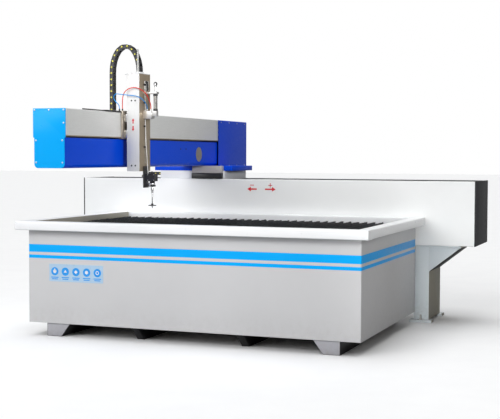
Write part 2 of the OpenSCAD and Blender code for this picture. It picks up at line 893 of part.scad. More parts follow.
// Inner plate on the guide blocks, foot through the slot, and outer plate that carries the ram
module saddle() {
  x0 = arm_x + y_block_x;
  color("dimgray")
    along_y(saddle_y - saddle_half, saddle_y + saddle_half)
      polygon([[x0, foot_z], [x0, y_rail_high + 24], [x0 + inner_plate_t, y_rail_high + 24],
               [x0 + inner_plate_t, foot_z + foot_t], [arm_x + outer_x0, foot_z + foot_t],
               [arm_x + outer_x0, tray_z + 8], [arm_x + outer_x0 + outer_t, tray_z + 8],
               [arm_x + outer_x0 + outer_t, foot_z]]);
}

module saddle_tray() {
  x1 = arm_x + outer_x0;
  color("#1e1e20") {
    block(arm_x + tray_left, x1, saddle_y + tray_front, saddle_y + tray_rear, tray_z, tray_z + 6);
    block(arm_x + tray_left, arm_x + tray_left + 4, saddle_y + tray_front, saddle_y + tray_rear,
          tray_z, tray_z + 20);
    block(arm_x + chain_left_x - link_h / 2 - 4, arm_x + chain_left_x + link_h / 2 + 4,
          saddle_y - link_w / 2 - 4, saddle_y + link_w / 2 + 4, tray_z, tray_z + chain_foot_h);
    rod_z(arm_x + blue_route[0].x, saddle_y + blue_route[0].y, tray_z + 6, fitting_top, fitting_d);
    rod_z(arm_x + red_route[0].x, saddle_y + red_route[0].y, tray_z + 8, fitting_top, fitting_d);
  }
}

module z_blocks() {
  x0 = arm_x + outer_x0 + outer_t;
  rail_tip = ram_x0 - z_rail_h;
  color("dimgray")
    for (t = [-1, 1], z = [foot_z + 10, tray_z - 20 - z_block_len])
      difference() {
        block(x0, arm_x + z_block_x1, saddle_y + t * z_rail_y - 19, saddle_y + t * z_rail_y + 19,
              z, z + z_block_len);
        block(arm_x + rail_tip - run_clear, arm_x + z_block_x1 + 1,
              saddle_y + t * z_rail_y - z_rail_w / 2 - run_clear,
              saddle_y + t * z_rail_y + z_rail_w / 2 + run_clear, z - 1, z + z_block_len + 1);
      }
}

module z_nut() {
  color("dimgray")
    difference() {
      block(arm_x + outer_x0 + outer_t, arm_x + ram_cx + 18, saddle_y - 18, saddle_y + 18, nut_z, nut_z + 40);
      rod_z(arm_x + ram_cx, saddle_y, nut_z - 1, nut_z + 41, z_screw_d + 2 * run_clear);
    }
}

// ---- Ram ----

module ram_column() {
  x0 = arm_x + ram_x0;
  x1 = arm_x + ram_x1;
  y0 = saddle_y - ram_d / 2;
  y1 = saddle_y + ram_d / 2;
  color("silver")
    difference() {
      block(x0, x1, y0, y1, ram_z, ram_top);
      block(x0 + ram_wall, x1 - ram_wall, y0 + ram_wall, y1 - ram_wall, ram_z - 1, ram_top + 1);
      block(x0 - 1, x0 + ram_wall + 1, saddle_y - 24, saddle_y + 24, nut_z - ram_up - 15,
            nut_z + 40 + ram_down + 15);
      block(x1 - ram_wall - 1, x1 + 1, saddle_y + 2, saddle_y + 10, ram_z + 60, manifold_z0 - 20);
      block(x1 - ram_wall - 1, x1 + 1, saddle_y - 9, saddle_y + 69, ram_top - 125, ram_top - 51);
    }
}

module ram_cap() {
  x0 = arm_x + ram_x0;
  x1 = arm_x + ram_x1;
  cx = arm_x + chain_right_x;
  color("whitesmoke") {
    block(x0, x1, saddle_y - ram_d / 2, saddle_y + ram_d / 2, ram_top, ram_top + 5);
    block(x0 - 60, x0 + 2, saddle_y - 22, saddle_y + 22, ram_top, ram_top + 5);
    block(cx - link_h / 2 - 4, cx + link_h / 2 + 4, saddle_y - link_w / 2 - 4, saddle_y + link_w / 2 + 4,
          ram_top, ram_top + chain_clamp_h);
  }
}

module z_rails() {
  color("lightgray")
    for (t = [-1, 1])
      block(arm_x + ram_x0 - z_rail_h, arm_x + ram_x0, saddle_y + t * z_rail_y - z_rail_w / 2,
            saddle_y + t * z_rail_y + z_rail_w / 2, ram_z + 20, ram_top - 20);
}

module z_screw() {
  color("lightsteelblue")
    rod_z(arm_x + ram_cx, saddle_y, nut_z - ram_up - 25, nut_z + 40 + ram_down + 28, z_screw_d);
}

// The servo stands on a bearing plate that closes the ram's inside
module z_servo() {
  z = nut_z + 40 + ram_down + 20;
  color("#303236") {
    difference() {
      block(arm_x + ram_x0 + ram_wall, arm_x + ram_x1 - ram_wall, saddle_y - ram_d / 2 + ram_wall,
            saddle_y + ram_d / 2 - ram_wall, z, z + 10);
      rod_z(arm_x + ram_cx, saddle_y, z - 1, z + 11, z_screw_d + 2 * run_clear);
    }
    translate([arm_x + ram_cx, saddle_y, z + 10]) servo(60, 120);
  }
}

// Middle line of the ram's chain: up the left side, over an arch, down to the ram's top
function chain_line(off) = concat(
  [[chain_left_x - off, tray_z + chain_foot_h], [chain_left_x - off, chain_bend_z]],
  [for (a = [172 : -8 : 8])
    [chain_mid_x + (chain_half + off) * cos(a), chain_bend_z + (chain_rise - 22 + off) * sin(a)]],
  [[chain_right_x + off, chain_bend_z], [chain_right_x + off, ram_top + chain_clamp_h]]);

module ram_chain() {
  outside = chain_line(link_h / 2);
  inside = chain_line(-link_h / 2);
  color("#26282c")
    along_y(saddle_y - link_w / 2, saddle_y + link_w / 2)
      translate([arm_x, 0])
        polygon(concat(outside, [for (i = [len(inside) - 1 : -1 : 0]) inside[i]]));
}

// ---- Air cylinder and cutting head ----

module air_brackets() {
  x1 = arm_x + ram_x1;
  color("gainsboro") {
    difference() {
      block(x1, arm_x + air_x + 20, saddle_y - 20, saddle_y + 20, air_z1, air_z1 + air_lug_t);
      rod_z(arm_x + air_x, saddle_y, air_z1 - 1, air_z1 + air_lug_t + 1, air_rod_d + 1);
    }
    block(x1, arm_x + air_x - air_d / 2 - 8, saddle_y - 30, saddle_y + 30, manifold_z0, air_z0);
    block(arm_x + air_x - air_d / 2 - 8, arm_x + air_x + air_d / 2 + 2, saddle_y - 16, saddle_y + 16,
          air_z0 - 41, air_z0);
    for (end = [red_route[len(red_route) - 1], blue_route[len(blue_route) - 1]])
      rod_z(arm_x + end.x, saddle_y + end.y, air_z0, fitting_top, fitting_d);
  }
}

module air_cylinder() {
  bore = air_d - 8;
  color("silver")
    difference() {
      rod_z(arm_x + air_x, saddle_y, air_z0, air_z1, air_d);
      rod_z(arm_x + air_x, saddle_y, air_z0 + 12, air_z1 - 12, bore);
      rod_z(arm_x + air_x, saddle_y, air_z1 - 13, air_z1 + 1, air_rod_d + 2 * run_clear);
    }
}

module air_rod() {
  x = arm_x + air_x;
  bore = air_d - 8;
  color("silver") {
    rod_z(x, saddle_y, air_z1 - 62, air_eye_z - 10, air_rod_d);
    rod_z(x, saddle_y, air_z1 - 62, air_z1 - 52, bore - 2 * run_clear);
    difference() {
      rod_y(x, air_eye_z, saddle_y - 7, saddle_y + 7, 32);
      rod_y(x, air_eye_z, saddle_y - 8, saddle_y + 8, 12);
    }
  }
}

module head_bracket() {
  x1 = arm_x + ram_x1;
  color("#26282c") {
    block(x1, x1 + bracket_t, saddle_y - 35, saddle_y + 35, nozzle_z + 160, ram_z + 40);
    block(x1 + bracket_t, arm_x + head_x - 21, saddle_y - 20, saddle_y + 20, nozzle_z + 169, nozzle_z + 194);
  }
}

// Cutting head, from its valve block down to the nozzle's tip
module cutting_head() {
  x = arm_x + head_x;
  color("dimgray") {
    block(arm_x + ram_x1 + bracket_t, x + 34, saddle_y - 30, saddle_y + 30, valve_z0, valve_z1);
    rod_z(x, saddle_y, valve_z1, valve_z1 + 14, 26);
    rod_z(x, saddle_y, nozzle_z + 194, valve_z0, 40);
    block(x - 21, x + 21, saddle_y - 21, saddle_y + 21, nozzle_z + 169, nozzle_z + 194);
    rod_z(x, saddle_y, nozzle_z + 120, nozzle_z + 169, 18);
    rod_z(x, saddle_y, nozzle_z + 38, nozzle_z + 120, focus_d + 3);
    rod_z(x, saddle_y, nozzle_z, nozzle_z + 38, focus_d);
  }
}

module splash_guard() {
  color("#1e1e20")
    difference() {
      union() {
        rod_z(arm_x + head_x, saddle_y, nozzle_z + 20, nozzle_z + 26, splash_d);
        rod_z(arm_x + head_x, saddle_y, nozzle_z + 26, nozzle_z + 38, focus_d + 10);
      }
      rod_z(arm_x + head_x, saddle_y, nozzle_z + 19, nozzle_z + 39, focus_d);
    }
}

// ---- Hoses, as points measured from the arm's centre, the ram's axis and the floor ----

hose_d = 7;
fitting_d = 12;
fitting_top = 1772;
// The points were drawn for a saddle plate at 137 and a ram side at 285. Where those move, each hose's
// first end goes with the plate, its last end with the ram, and the points between share the move.
function fitted(points) = let (n = len(points), from = outer_x0 - 137, to = ram_x1 - 285)
  [for (i = [0 : n - 1]) let (s = min(max((i - 3) / (n - 10), 0), 1)) points[i] + [from * (1 - s) + to * s, 0, 0]];
red_route = fitted([
  [144, -100, 1772], [144, -100, 1782], [144, -101, 1800], [147, -105, 1834], [153, -109, 1866],
  [165, -112, 1893], [182, -112, 1911], [206, -112, 1924], [240, -112, 1932], [270, -112, 1930],
  [298, -102, 1918], [322, -78, 1898], [336, -60, 1870], [342, -40, 1840], [343, -20, 1812],
  [342, -11, 1795], [342, -10, 1782], [342, -10, 1772]]);
blue_route = fitted([
  [118, -100, 1772], [118, -100, 1782], [110, -100, 1804], [91, -100, 1823], [75, -100, 1842],
  [70, -102, 1860], [78, -106, 1878], [98, -112, 1886], [127, -120, 1884], [160, -123, 1880],
  [203, -119, 1875], [240, -114, 1871], [270, -110, 1866], [296, -100, 1855], [310, -80, 1838],
  [316, -54, 1818], [314, -28, 1802], [312, -16, 1792], [312, -14, 1782], [312, -14, 1772]]);

module red_hose() {
  color("tomato") translate([arm_x, saddle_y, 0]) hose(red_route, hose_d);
}

module blue_hose() {
  color("deepskyblue") translate([arm_x, saddle_y, 0]) hose(blue_route, hose_d);
}

tank_casing();
tank_liner();
tank_floor();
tank_rim();
rim_end_caps();
skids();
slats();
slat_combs();
beam_core();
beam_covers();
beam_end_caps();
bellows_left();
bellows_right();
x_rails();
x_screw();
x_screw_bearings();
x_servo();
beam_columns();
column_gussets();
levelling_screws();
beam_chain_trough();
beam_chain();
x_blocks();
x_nut();
carriage_riser();
carriage_plate();
drive_cover_base();
drive_cover_lid();
arm_core();
arm_lower_cover();
arm_upper_cover();
slot_seal();
arm_rear_housing();
arm_front_cap();
arm_screws();
access_plate();
y_rails();
y_screw();
y_screw_bearings();
y_servo();
y_blocks();
y_nut();
saddle();
saddle_tray();
z_blocks();
z_nut();
ram_column();
ram_cap();
z_rails();
z_screw();
z_servo();
ram_chain();
air_brackets();
air_cylinder();
air_rod();
head_bracket();
cutting_head();
splash_guard();
red_hose();
blue_hose();
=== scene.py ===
# %% [markdown]
# # A cantilever water-jet cutter, finished in Blender
# The machine is a tank with a slatted bed, a long beam behind it and an arm that reaches over the tank.
# The arm rolls along the beam, a saddle rolls along the arm, and a ram on the saddle carries the cutting head.
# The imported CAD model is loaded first. It gives every piece's place, so nothing here has to be fitted by eye.

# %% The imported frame
import json
import math

import bpy
import numpy as np
from mathutils import Matrix, Vector

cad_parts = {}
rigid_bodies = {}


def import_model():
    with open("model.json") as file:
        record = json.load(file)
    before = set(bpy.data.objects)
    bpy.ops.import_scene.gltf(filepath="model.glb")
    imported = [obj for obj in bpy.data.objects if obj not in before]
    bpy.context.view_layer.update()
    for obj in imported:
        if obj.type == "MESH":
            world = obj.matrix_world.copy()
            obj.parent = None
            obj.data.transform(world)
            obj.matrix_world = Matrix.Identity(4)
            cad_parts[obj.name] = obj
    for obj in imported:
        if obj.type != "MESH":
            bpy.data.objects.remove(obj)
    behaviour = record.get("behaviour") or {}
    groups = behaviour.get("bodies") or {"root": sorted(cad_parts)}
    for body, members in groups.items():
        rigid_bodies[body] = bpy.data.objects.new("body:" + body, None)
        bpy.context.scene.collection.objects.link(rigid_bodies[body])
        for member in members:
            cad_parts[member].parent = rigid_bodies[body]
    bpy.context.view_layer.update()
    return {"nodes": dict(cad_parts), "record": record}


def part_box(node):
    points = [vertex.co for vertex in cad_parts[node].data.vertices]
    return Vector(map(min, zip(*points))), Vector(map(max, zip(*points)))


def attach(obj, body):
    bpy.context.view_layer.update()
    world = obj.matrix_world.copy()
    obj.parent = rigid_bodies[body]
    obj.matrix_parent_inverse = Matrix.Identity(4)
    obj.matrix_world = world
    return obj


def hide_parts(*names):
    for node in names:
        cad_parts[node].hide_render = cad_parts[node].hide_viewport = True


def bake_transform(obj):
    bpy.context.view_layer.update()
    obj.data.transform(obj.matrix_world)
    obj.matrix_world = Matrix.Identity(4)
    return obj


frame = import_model()
BODY = {name: body for body, names in frame["record"]["behaviour"]["bodies"].items() for name in names}

# %% [markdown]
# ## The camera
# A long lens from well back keeps the long beam and the tank's front nearly parallel, as product views do.

# %% Camera
camera_data = bpy.data.cameras.new("studio_camera")
camera_data.sensor_width, camera_data.lens = 36.0, 80.34
camera = bpy.data.objects.new("studio_camera", camera_data)
bpy.context.scene.collection.objects.link(camera)
camera.matrix_world = (Matrix.Translation((3.4152, -8.5882, 1.412)) @ Matrix.Rotation(0.3676, 4, "Z")
                       @ Matrix.Rotation(math.pi / 2 - 0.0479, 4, "X") @ Matrix.Rotation(0.0026, 4, "Z"))
bpy.context.scene.camera = camera
print("lens", camera_data.lens, "mm")

# %% [markdown]
# ## Tools for shaping
# Every operator works on what is selected, so each helper starts by deselecting everything.
# Faces and edges are picked by their place or their normal, never by number, so a change of size doesn't break
# the pick.

# %% Select, box and rod
def mm(value):
    return value / 1000


def deselect():
    if bpy.context.object and bpy.context.object.mode != "OBJECT":
        bpy.ops.object.mode_set(mode="OBJECT")
    bpy.ops.object.select_all(action="DESELECT")


def choose(piece):
    deselect()
    piece.select_set(True)
    bpy.context.view_layer.objects.active = piece


def settle(piece, name):
    """Put a new primitive's place, turn and size into its mesh."""
    bpy.ops.object.transform_apply(location=True, rotation=True, scale=True)
    piece.name = piece.data.name = name
    return piece


def box(name, low, high):
    deselect()
    middle = [(a + b) / 2 for a, b in zip(low, high)]
    bpy.ops.mesh.primitive_cube_add(size=1, location=middle)
    piece = bpy.context.object
    piece.scale = [b - a for a, b in zip(low, high)]
    return settle(piece, name)


def rod(name, start, end, radius, sides=32, radius_2=None):
    """A cylinder, or a cone when radius_2 is given, from start to end."""
    deselect()
    start, end = Vector(start), Vector(end)
    turn = (end - start).to_track_quat("Z", "Y").to_euler()
    far_radius = radius if radius_2 is None else radius_2
    bpy.ops.mesh.primitive_cone_add(vertices=sides, radius1=radius, radius2=far_radius, depth=(end - start).length,
                                    location=(start + end) / 2, rotation=turn)
    return settle(bpy.context.object, name)


# %% Pick faces or edges, then leave the piece in edit mode
def pick_faces(piece, test):
    choose(piece)
    bpy.ops.object.mode_set(mode="EDIT")
    bpy.ops.mesh.select_mode(type="FACE")
    bpy.ops.mesh.select_all(action="DESELECT")
    bpy.ops.object.mode_set(mode="OBJECT")
    for face in piece.data.polygons:
        face.select = bool(test(face.center, face.normal))
    bpy.ops.object.mode_set(mode="EDIT")


def pick_edges(piece, test):
    """test gets the edge's middle and its direction."""
    choose(piece)
    bpy.ops.object.mode_set(mode="EDIT")
    bpy.ops.mesh.select_mode(type="EDGE")
    bpy.ops.mesh.select_all(action="DESELECT")
    bpy.ops.object.mode_set(mode="OBJECT")
    for edge in piece.data.edges:
        a, b = (piece.data.vertices[i].co for i in edge.vertices)
        edge.select = bool(test((a + b) / 2, (b - a).normalized()))
    bpy.ops.object.mode_set(mode="EDIT")


def pick_all(piece):
    choose(piece)
    bpy.ops.object.mode_set(mode="EDIT")
    bpy.ops.mesh.select_all(action="SELECT")


def done():
    """Leave edit mode."""
    bpy.ops.object.mode_set(mode="OBJECT")


def bevel_edges(piece, test, width, segments=3):
    pick_edges(piece, test)
    bpy.ops.mesh.bevel(offset=width, segments=segments, affect="EDGES", clamp_overlap=True)
    done()


def drop_faces(piece, test):
    pick_faces(piece, test)
    bpy.ops.mesh.delete(type="FACE")
    done()


def press(piece, test, thickness, depth):
    """Inset the picked faces and push them in (minus) or out (plus)."""
    pick_faces(piece, test)
    bpy.ops.mesh.inset(thickness=thickness, depth=depth)
    done()


def slice_at(piece, axis, places):
    """Cut new edges straight through the piece at places along an axis, without removing anything."""
    choose(piece)
    for place in places:
        bpy.ops.object.mode_set(mode="EDIT")
        bpy.ops.mesh.select_all(action="SELECT")
        where, normal = [0.0] * 3, [0.0] * 3
        where[axis], normal[axis] = place, 1.0
        bpy.ops.mesh.bisect(plane_co=where, plane_no=normal)
        done()


# %% Modifiers that are applied at once, copies, joins and cuts
def apply_modifier(piece, kind, **settings):
    choose(piece)
    modifier = piece.modifiers.new(kind.lower(), kind)
    for key, value in settings.items():
        setattr(modifier, key, value)
    bpy.ops.object.modifier_apply(modifier=modifier.name)
    return piece


def smooth(piece, angle=35):
    choose(piece)
    bpy.ops.object.shade_smooth_by_angle(angle=math.radians(angle))
    return piece


def soften(piece, width, segments=2, angle=30):
    """Round every sharp edge, as a file or a bending press leaves it."""
    apply_modifier(piece, "BEVEL", width=width, segments=segments, limit_method="ANGLE",
                   angle_limit=math.radians(angle), harden_normals=False)
    return smooth(piece)


def another(piece, name, move=(0, 0, 0), matrix=None):
    """A copy with its own mesh, moved inside that mesh."""
    copy = piece.copy()
    copy.data = piece.data.copy()
    copy.name = copy.data.name = name
    bpy.context.scene.collection.objects.link(copy)
    copy.data.transform(matrix if matrix is not None else Matrix.Translation(move))
    return copy


def join(pieces, name):
    choose(pieces[0])
    for piece in pieces[1:]:
        piece.select_set(True)
    if len(pieces) > 1:
        bpy.ops.object.join()
    pieces[0].name = pieces[0].data.name = name
    return pieces[0]


def cut(piece, tools):
    for tool in tools if isinstance(tools, list) else [tools]:
        apply_modifier(piece, "BOOLEAN", object=tool, operation="DIFFERENCE", solver="EXACT")
        bpy.data.objects.remove(tool)
    return piece


def finished(piece, paint, body, stands_for=()):
    """Give the piece its material and body, and hide the CAD pieces it stands for."""
    if paint is not None:
        piece.data.materials.clear()
        piece.data.materials.append(FINISH[paint])
    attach(piece, body)
    if stands_for:
        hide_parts(*([stands_for] if isinstance(stands_for, str) else stands_for))
    print(f"{piece.name}: {len(piece.data.polygons)} faces")
    return piece


# %% [markdown]
# ## Shared surface effects
# A few effects come back in many finishes: the slight unevenness of sprayed paint, dust on faces that look up,
# the lines of brushed metal, the fine grain of moulded plastic, and rust where water dries.
# Each is a node group with named sockets. A material places the group and gives it its own values.

# %% Node helpers
def new_group(title, inputs, outputs):
    group = bpy.data.node_groups.new(title, "ShaderNodeTree")
    for name, kind, value in inputs:
        socket = group.interface.new_socket(name=name, in_out="INPUT", socket_type="NodeSocket" + kind)
        socket.default_value = value
    for name, kind in outputs:
        group.interface.new_socket(name=name, in_out="OUTPUT", socket_type="NodeSocket" + kind)
    return group, group.nodes.new("NodeGroupInput").outputs, group.nodes.new("NodeGroupOutput").inputs


def wire(tree, socket, value):
    if isinstance(value, bpy.types.NodeSocket):
        tree.links.new(value, socket)
    else:
        socket.default_value = value


def node(tree, kind, settings=None, **inputs):
    made = tree.nodes.new("ShaderNode" + kind)
    for key, value in (settings or {}).items():
        setattr(made, key, value)
    for key, value in inputs.items():
        wire(tree, made.inputs[key.replace("_", " ")], value)
    return made


def math_node(tree, operation, a, b=0.0, clamp=False):
    made = tree.nodes.new("ShaderNodeMath")
    made.operation, made.use_clamp = operation, clamp
    wire(tree, made.inputs[0], a)
    wire(tree, made.inputs[1], b)
    return made.outputs[0]


def mix(tree, share, a, b, how="MIX"):
    made = tree.nodes.new("ShaderNodeMix")
    made.data_type, made.blend_type = "RGBA", how
    for index, value in ((0, share), (6, a), (7, b)):
        wire(tree, made.inputs[index], value)
    return made.outputs[2]


def ramp(tree, value, low, high, to_low=0.0, to_high=1.0, steps="LINEAR"):
    made = node(tree, "MapRange", {"interpolation_type": steps}, Value=value, From_Min=low, From_Max=high,
                To_Min=to_low, To_Max=to_high)
    return made.outputs["Result"]


def tinted(tree, colour, value):
    """The colour times a grey of this value."""
    grey = node(tree, "CombineColor", Red=value, Green=value, Blue=value).outputs[0]
    return mix(tree, 1.0, colour, grey, "MULTIPLY")


def noise(tree, scale, detail=3.0, rough=0.55, vector=None):
    where = vector or node(tree, "TexCoord").outputs["Object"]
    return node(tree, "TexNoise", Vector=where, Scale=scale, Detail=detail, Roughness=rough).outputs["Fac"]


def stretched(tree, scale):
    """Object coordinates stretched along one axis, for grain that runs one way."""
    where = node(tree, "TexCoord").outputs["Object"]
    return node(tree, "Mapping", Vector=where, Scale=scale).outputs["Vector"]


# %% [markdown]
# ### Sprayed paint
# Powder coat is never flat: it has a faint orange peel, slow changes of tone, dust on its upper faces
# and grime near the floor. The dust mask reads the surface normal, so one group serves every side.

# %% Sprayed paint group
tree, given, out = new_group("Sprayed paint", [
    ("Colour", "Color", (0.8, 0.8, 0.8, 1)), ("Roughness", "Float", 0.35), ("Dust", "Float", 0.3),
    ("Grime", "Float", 0.3), ("Grime height", "Float", 0.35)],
    [("Colour", "Color"), ("Roughness", "Float"), ("Height", "Float")])
cloud = noise(tree, 1.4, 4)
tone = ramp(tree, cloud, 0.3, 0.7, 0.955, 1.02)
toned = tinted(tree, given["Colour"], tone)
up = node(tree, "SeparateXYZ", Vector=node(tree, "NewGeometry").outputs["Normal"]).outputs["Z"]
lying = math_node(tree, "MULTIPLY", ramp(tree, up, 0.4, 1.0), ramp(tree, noise(tree, 11, 5, 0.7), 0.35, 0.75))
dust = math_node(tree, "MULTIPLY", lying, given["Dust"])
dusted = mix(tree, dust, toned, (0.62, 0.59, 0.54, 1))
height_z = node(tree, "SeparateXYZ", Vector=node(tree, "TexCoord").outputs["Object"]).outputs["Z"]
near_floor = math_node(tree, "SUBTRACT", 1.0, math_node(tree, "DIVIDE", height_z, given["Grime height"]), clamp=True)
splashes = math_node(tree, "MULTIPLY", near_floor, ramp(tree, noise(tree, 23, 6, 0.75), 0.42, 0.7))
grime = math_node(tree, "MULTIPLY", splashes, given["Grime"])
wire(tree, out["Colour"], mix(tree, grime, dusted, (0.33, 0.30, 0.27, 1)))
rub = ramp(tree, noise(tree, 38, 4), 0.3, 0.7, -0.05, 0.06)
wire(tree, out["Roughness"], math_node(tree, "ADD", math_node(tree, "ADD", given["Roughness"], rub),
                                       math_node(tree, "MULTIPLY", dust, 0.35), clamp=True))
wire(tree, out["Height"], noise(tree, 260, 2))
print("Sprayed paint:", len(tree.nodes), "nodes")

# %% [markdown]
# ### Brushed metal
# A sanding belt leaves long fine lines. Noise squeezed hard across the lines and hardly along them gives
# that grain, and it drives the roughness and a very low bump, with a few longer scratches on top.

# %% Brushed metal group
tree, given, out = new_group("Brushed metal", [
    ("Colour", "Color", (0.6, 0.6, 0.6, 1)), ("Roughness", "Float", 0.35), ("Grain", "Vector", (1, 1, 1)),
    ("Stain", "Float", 0.2)],
    [("Colour", "Color"), ("Roughness", "Float"), ("Height", "Float")])
where = node(tree, "TexCoord").outputs["Object"]
squeezed = node(tree, "VectorMath", {"operation": "MULTIPLY"})
wire(tree, squeezed.inputs[0], where)
wire(tree, squeezed.inputs[1], given["Grain"])
lines = noise(tree, 1.0, 6, 0.7, squeezed.outputs[0])
shade = ramp(tree, lines, 0.3, 0.7, 0.88, 1.08)
lined = tinted(tree, given["Colour"], shade)
marks = math_node(tree, "MULTIPLY", ramp(tree, noise(tree, 7, 5, 0.7), 0.5, 0.75), given["Stain"])
wire(tree, out["Colour"], mix(tree, marks, lined, (0.30, 0.27, 0.23, 1)))
wire(tree, out["Roughness"], math_node(tree, "ADD", math_node(tree, "ADD", given["Roughness"],
     ramp(tree, lines, 0.3, 0.7, -0.07, 0.09)), math_node(tree, "MULTIPLY", marks, 0.3), clamp=True))
wire(tree, out["Height"], lines)
print("Brushed metal:", len(tree.nodes), "nodes")

# %% [markdown]
# ### Moulded grain
# Chain links, bellows and rubber have a fine spark-eroded texture and pale scuffs where they rub.

# %% Moulded grain group
tree, given, out = new_group("Moulded grain", [
    ("Colour", "Color", (0.03, 0.03, 0.03, 1)), ("Roughness", "Float", 0.5), ("Scuff", "Float", 0.3),
    ("Dust", "Float", 0.3)],
    [("Colour", "Color"), ("Roughness", "Float"), ("Height", "Float")])
rubbed = math_node(tree, "MULTIPLY", ramp(tree, noise(tree, 30, 6, 0.75), 0.52, 0.72), given["Scuff"])
scuffed = mix(tree, rubbed, given["Colour"], (0.24, 0.24, 0.25, 1))
up = node(tree, "SeparateXYZ", Vector=node(tree, "NewGeometry").outputs["Normal"]).outputs["Z"]
dust = math_node(tree, "MULTIPLY", math_node(tree, "MULTIPLY", ramp(tree, up, 0.3, 1.0),
                 ramp(tree, noise(tree, 14, 5, 0.7), 0.35, 0.75)), given["Dust"])
wire(tree, out["Colour"], mix(tree, dust, scuffed, (0.42, 0.39, 0.35, 1)))
wire(tree, out["Roughness"], math_node(tree, "ADD", given["Roughness"],
                                       math_node(tree, "MULTIPLY", rubbed, 0.25), clamp=True))
grit = node(tree, "TexVoronoi", Vector=node(tree, "TexCoord").outputs["Object"], Scale=900.0).outputs["Distance"]
wire(tree, out["Height"], grit)
print("Moulded grain:", len(tree.nodes), "nodes")

# %% [markdown]
# ### Rust and wet grit
# The slats and the tank's inside stand in water and spent abrasive. Rust starts in patches and streaks,
# takes the shine off the steel, and leaves it rough. Its mask also drives the metallic value.

# %% Rust group
tree, given, out = new_group("Rust and grit", [
    ("Steel", "Color", (0.2, 0.2, 0.2, 1)), ("Rust", "Color", (0.16, 0.06, 0.025, 1)), ("Amount", "Float", 0.5)],
    [("Colour", "Color"), ("Roughness", "Float"), ("Metal", "Float"), ("Height", "Float")])
patches = noise(tree, 9, 8, 0.72)
streaks = noise(tree, 1.0, 5, 0.6, stretched(tree, (34, 34, 5)))
both = math_node(tree, "ADD", math_node(tree, "MULTIPLY", patches, 0.62), math_node(tree, "MULTIPLY", streaks, 0.38))
edge = math_node(tree, "SUBTRACT", 0.82, math_node(tree, "MULTIPLY", given["Amount"], 0.55))
mask = node(tree, "MapRange", {"interpolation_type": "SMOOTHSTEP"}, Value=both, From_Min=edge,
            From_Max=math_node(tree, "ADD", edge, 0.16)).outputs["Result"]
deep = mix(tree, ramp(tree, noise(tree, 60, 5, 0.7), 0.35, 0.7), given["Rust"], (0.30, 0.13, 0.05, 1))
wire(tree, out["Colour"], mix(tree, mask, given["Steel"], deep))
wire(tree, out["Roughness"], ramp(tree, mask, 0, 1, 0.42, 0.86))
wire(tree, out["Metal"], ramp(tree, mask, 0, 1, 0.85, 0.05))
wire(tree, out["Height"], math_node(tree, "ADD", math_node(tree, "MULTIPLY", mask, 0.6),
                                    math_node(tree, "MULTIPLY", noise(tree, 220, 3), 0.5)))
print("Rust and grit:", len(tree.nodes), "nodes")

# %% [markdown]
# ## Finishes
# One material for each finish of the record, and a few more where one paint looks different on another part,
# such as the whiter rim. A few are darker copies that stand for painted shade, such as the dark tan on the sides of
# the columns. The shader stays in the material: its constant values, such as the coat or the metallic value, are set
# on its own sockets, and the group feeds only what changes over the surface.

# %% Material makers
FINISH = {}


def material(name):
    made = bpy.data.materials.new(name)
    made.use_nodes = True
    FINISH[name] = made
    return made.node_tree, made.node_tree.nodes["Principled BSDF"]


def surface(name, group, values, bump, metallic=0.0, coat=0.0, coat_roughness=0.15, specular=0.5):
    """A material from one of the groups above. bump is the height of the relief in metres."""
    tree, shader = material(name)
    effect = tree.nodes.new("ShaderNodeGroup")
    effect.node_tree = bpy.data.node_groups[group]
    for key, value in values.items():
        effect.inputs[key].default_value = value
    tree.links.new(effect.outputs["Colour"], shader.inputs["Base Color"])
    tree.links.new(effect.outputs["Roughness"], shader.inputs["Roughness"])
    if "Metal" in effect.outputs:
        tree.links.new(effect.outputs["Metal"], shader.inputs["Metallic"])
    else:
        shader.inputs["Metallic"].default_value = metallic
    relief = node(tree, "Bump", Strength=0.6, Distance=bump, Height=effect.outputs["Height"])
    tree.links.new(relief.outputs["Normal"], shader.inputs["Normal"])
    shader.inputs["Coat Weight"].default_value = coat
    shader.inputs["Coat Roughness"].default_value = coat_roughness
    shader.inputs["Specular IOR Level"].default_value = specular
    return FINISH[name]


def paint(name, colour, roughness=0.38, dust=0.25, grime=0.0, grime_height=0.35, coat=0.15, specular=0.5):
    return surface(name, "Sprayed paint", {"Colour": (*colour, 1), "Roughness": roughness, "Dust": dust,
                   "Grime": grime, "Grime height": grime_height}, 0.0004, coat=coat, specular=specular)


def metal(name, colour, roughness=0.35, grain=(900, 900, 12), stain=0.15, metallic=0.9):
    return surface(name, "Brushed metal", {"Colour": (*colour, 1), "Roughness": roughness, "Grain": grain,
                   "Stain": stain}, 0.00015, metallic=metallic)


def plastic(name, colour, roughness=0.5, scuff=0.25, dust=0.25, bump=0.0002):
    return surface(name, "Moulded grain", {"Colour": (*colour, 1), "Roughness": roughness, "Scuff": scuff,
                   "Dust": dust}, bump)


# %% The finishes of the record
paint("white_paint", (0.80, 0.81, 0.83), 0.36, grime=0.25, grime_height=0.30)
paint("grey_paint", (0.44, 0.44, 0.48), 0.5, grime=0.5, grime_height=0.14)
paint("charcoal_paint", (0.045, 0.046, 0.050), 0.5, dust=0.2, coat=0.0, specular=0.2)
paint("blue_grey_paint", (0.70, 0.76, 0.79), 0.46, dust=0.25, grime=0.4, grime_height=0.25)
paint("blue_paint", (0.0, 0.074, 0.78), 0.34, dust=0.0, coat=0.06, specular=0.10)
paint("azure_paint", (0.0, 0.42, 0.98), 0.32, dust=0.0, coat=0.06, specular=0.12)
paint("black_paint", (0.018, 0.018, 0.02), 0.34, dust=0.3)
metal("brushed_stainless", (0.86, 0.87, 0.86), 0.42, (1100, 10, 1100), 0.06, 0.25)
metal("machine_steel", (0.42, 0.42, 0.43), 0.38)
metal("rail_steel", (0.66, 0.67, 0.69), 0.22, (8, 700, 700), 0.05)
metal("zinc_steel", (0.62, 0.62, 0.60), 0.34, (300, 300, 300), 0.25)
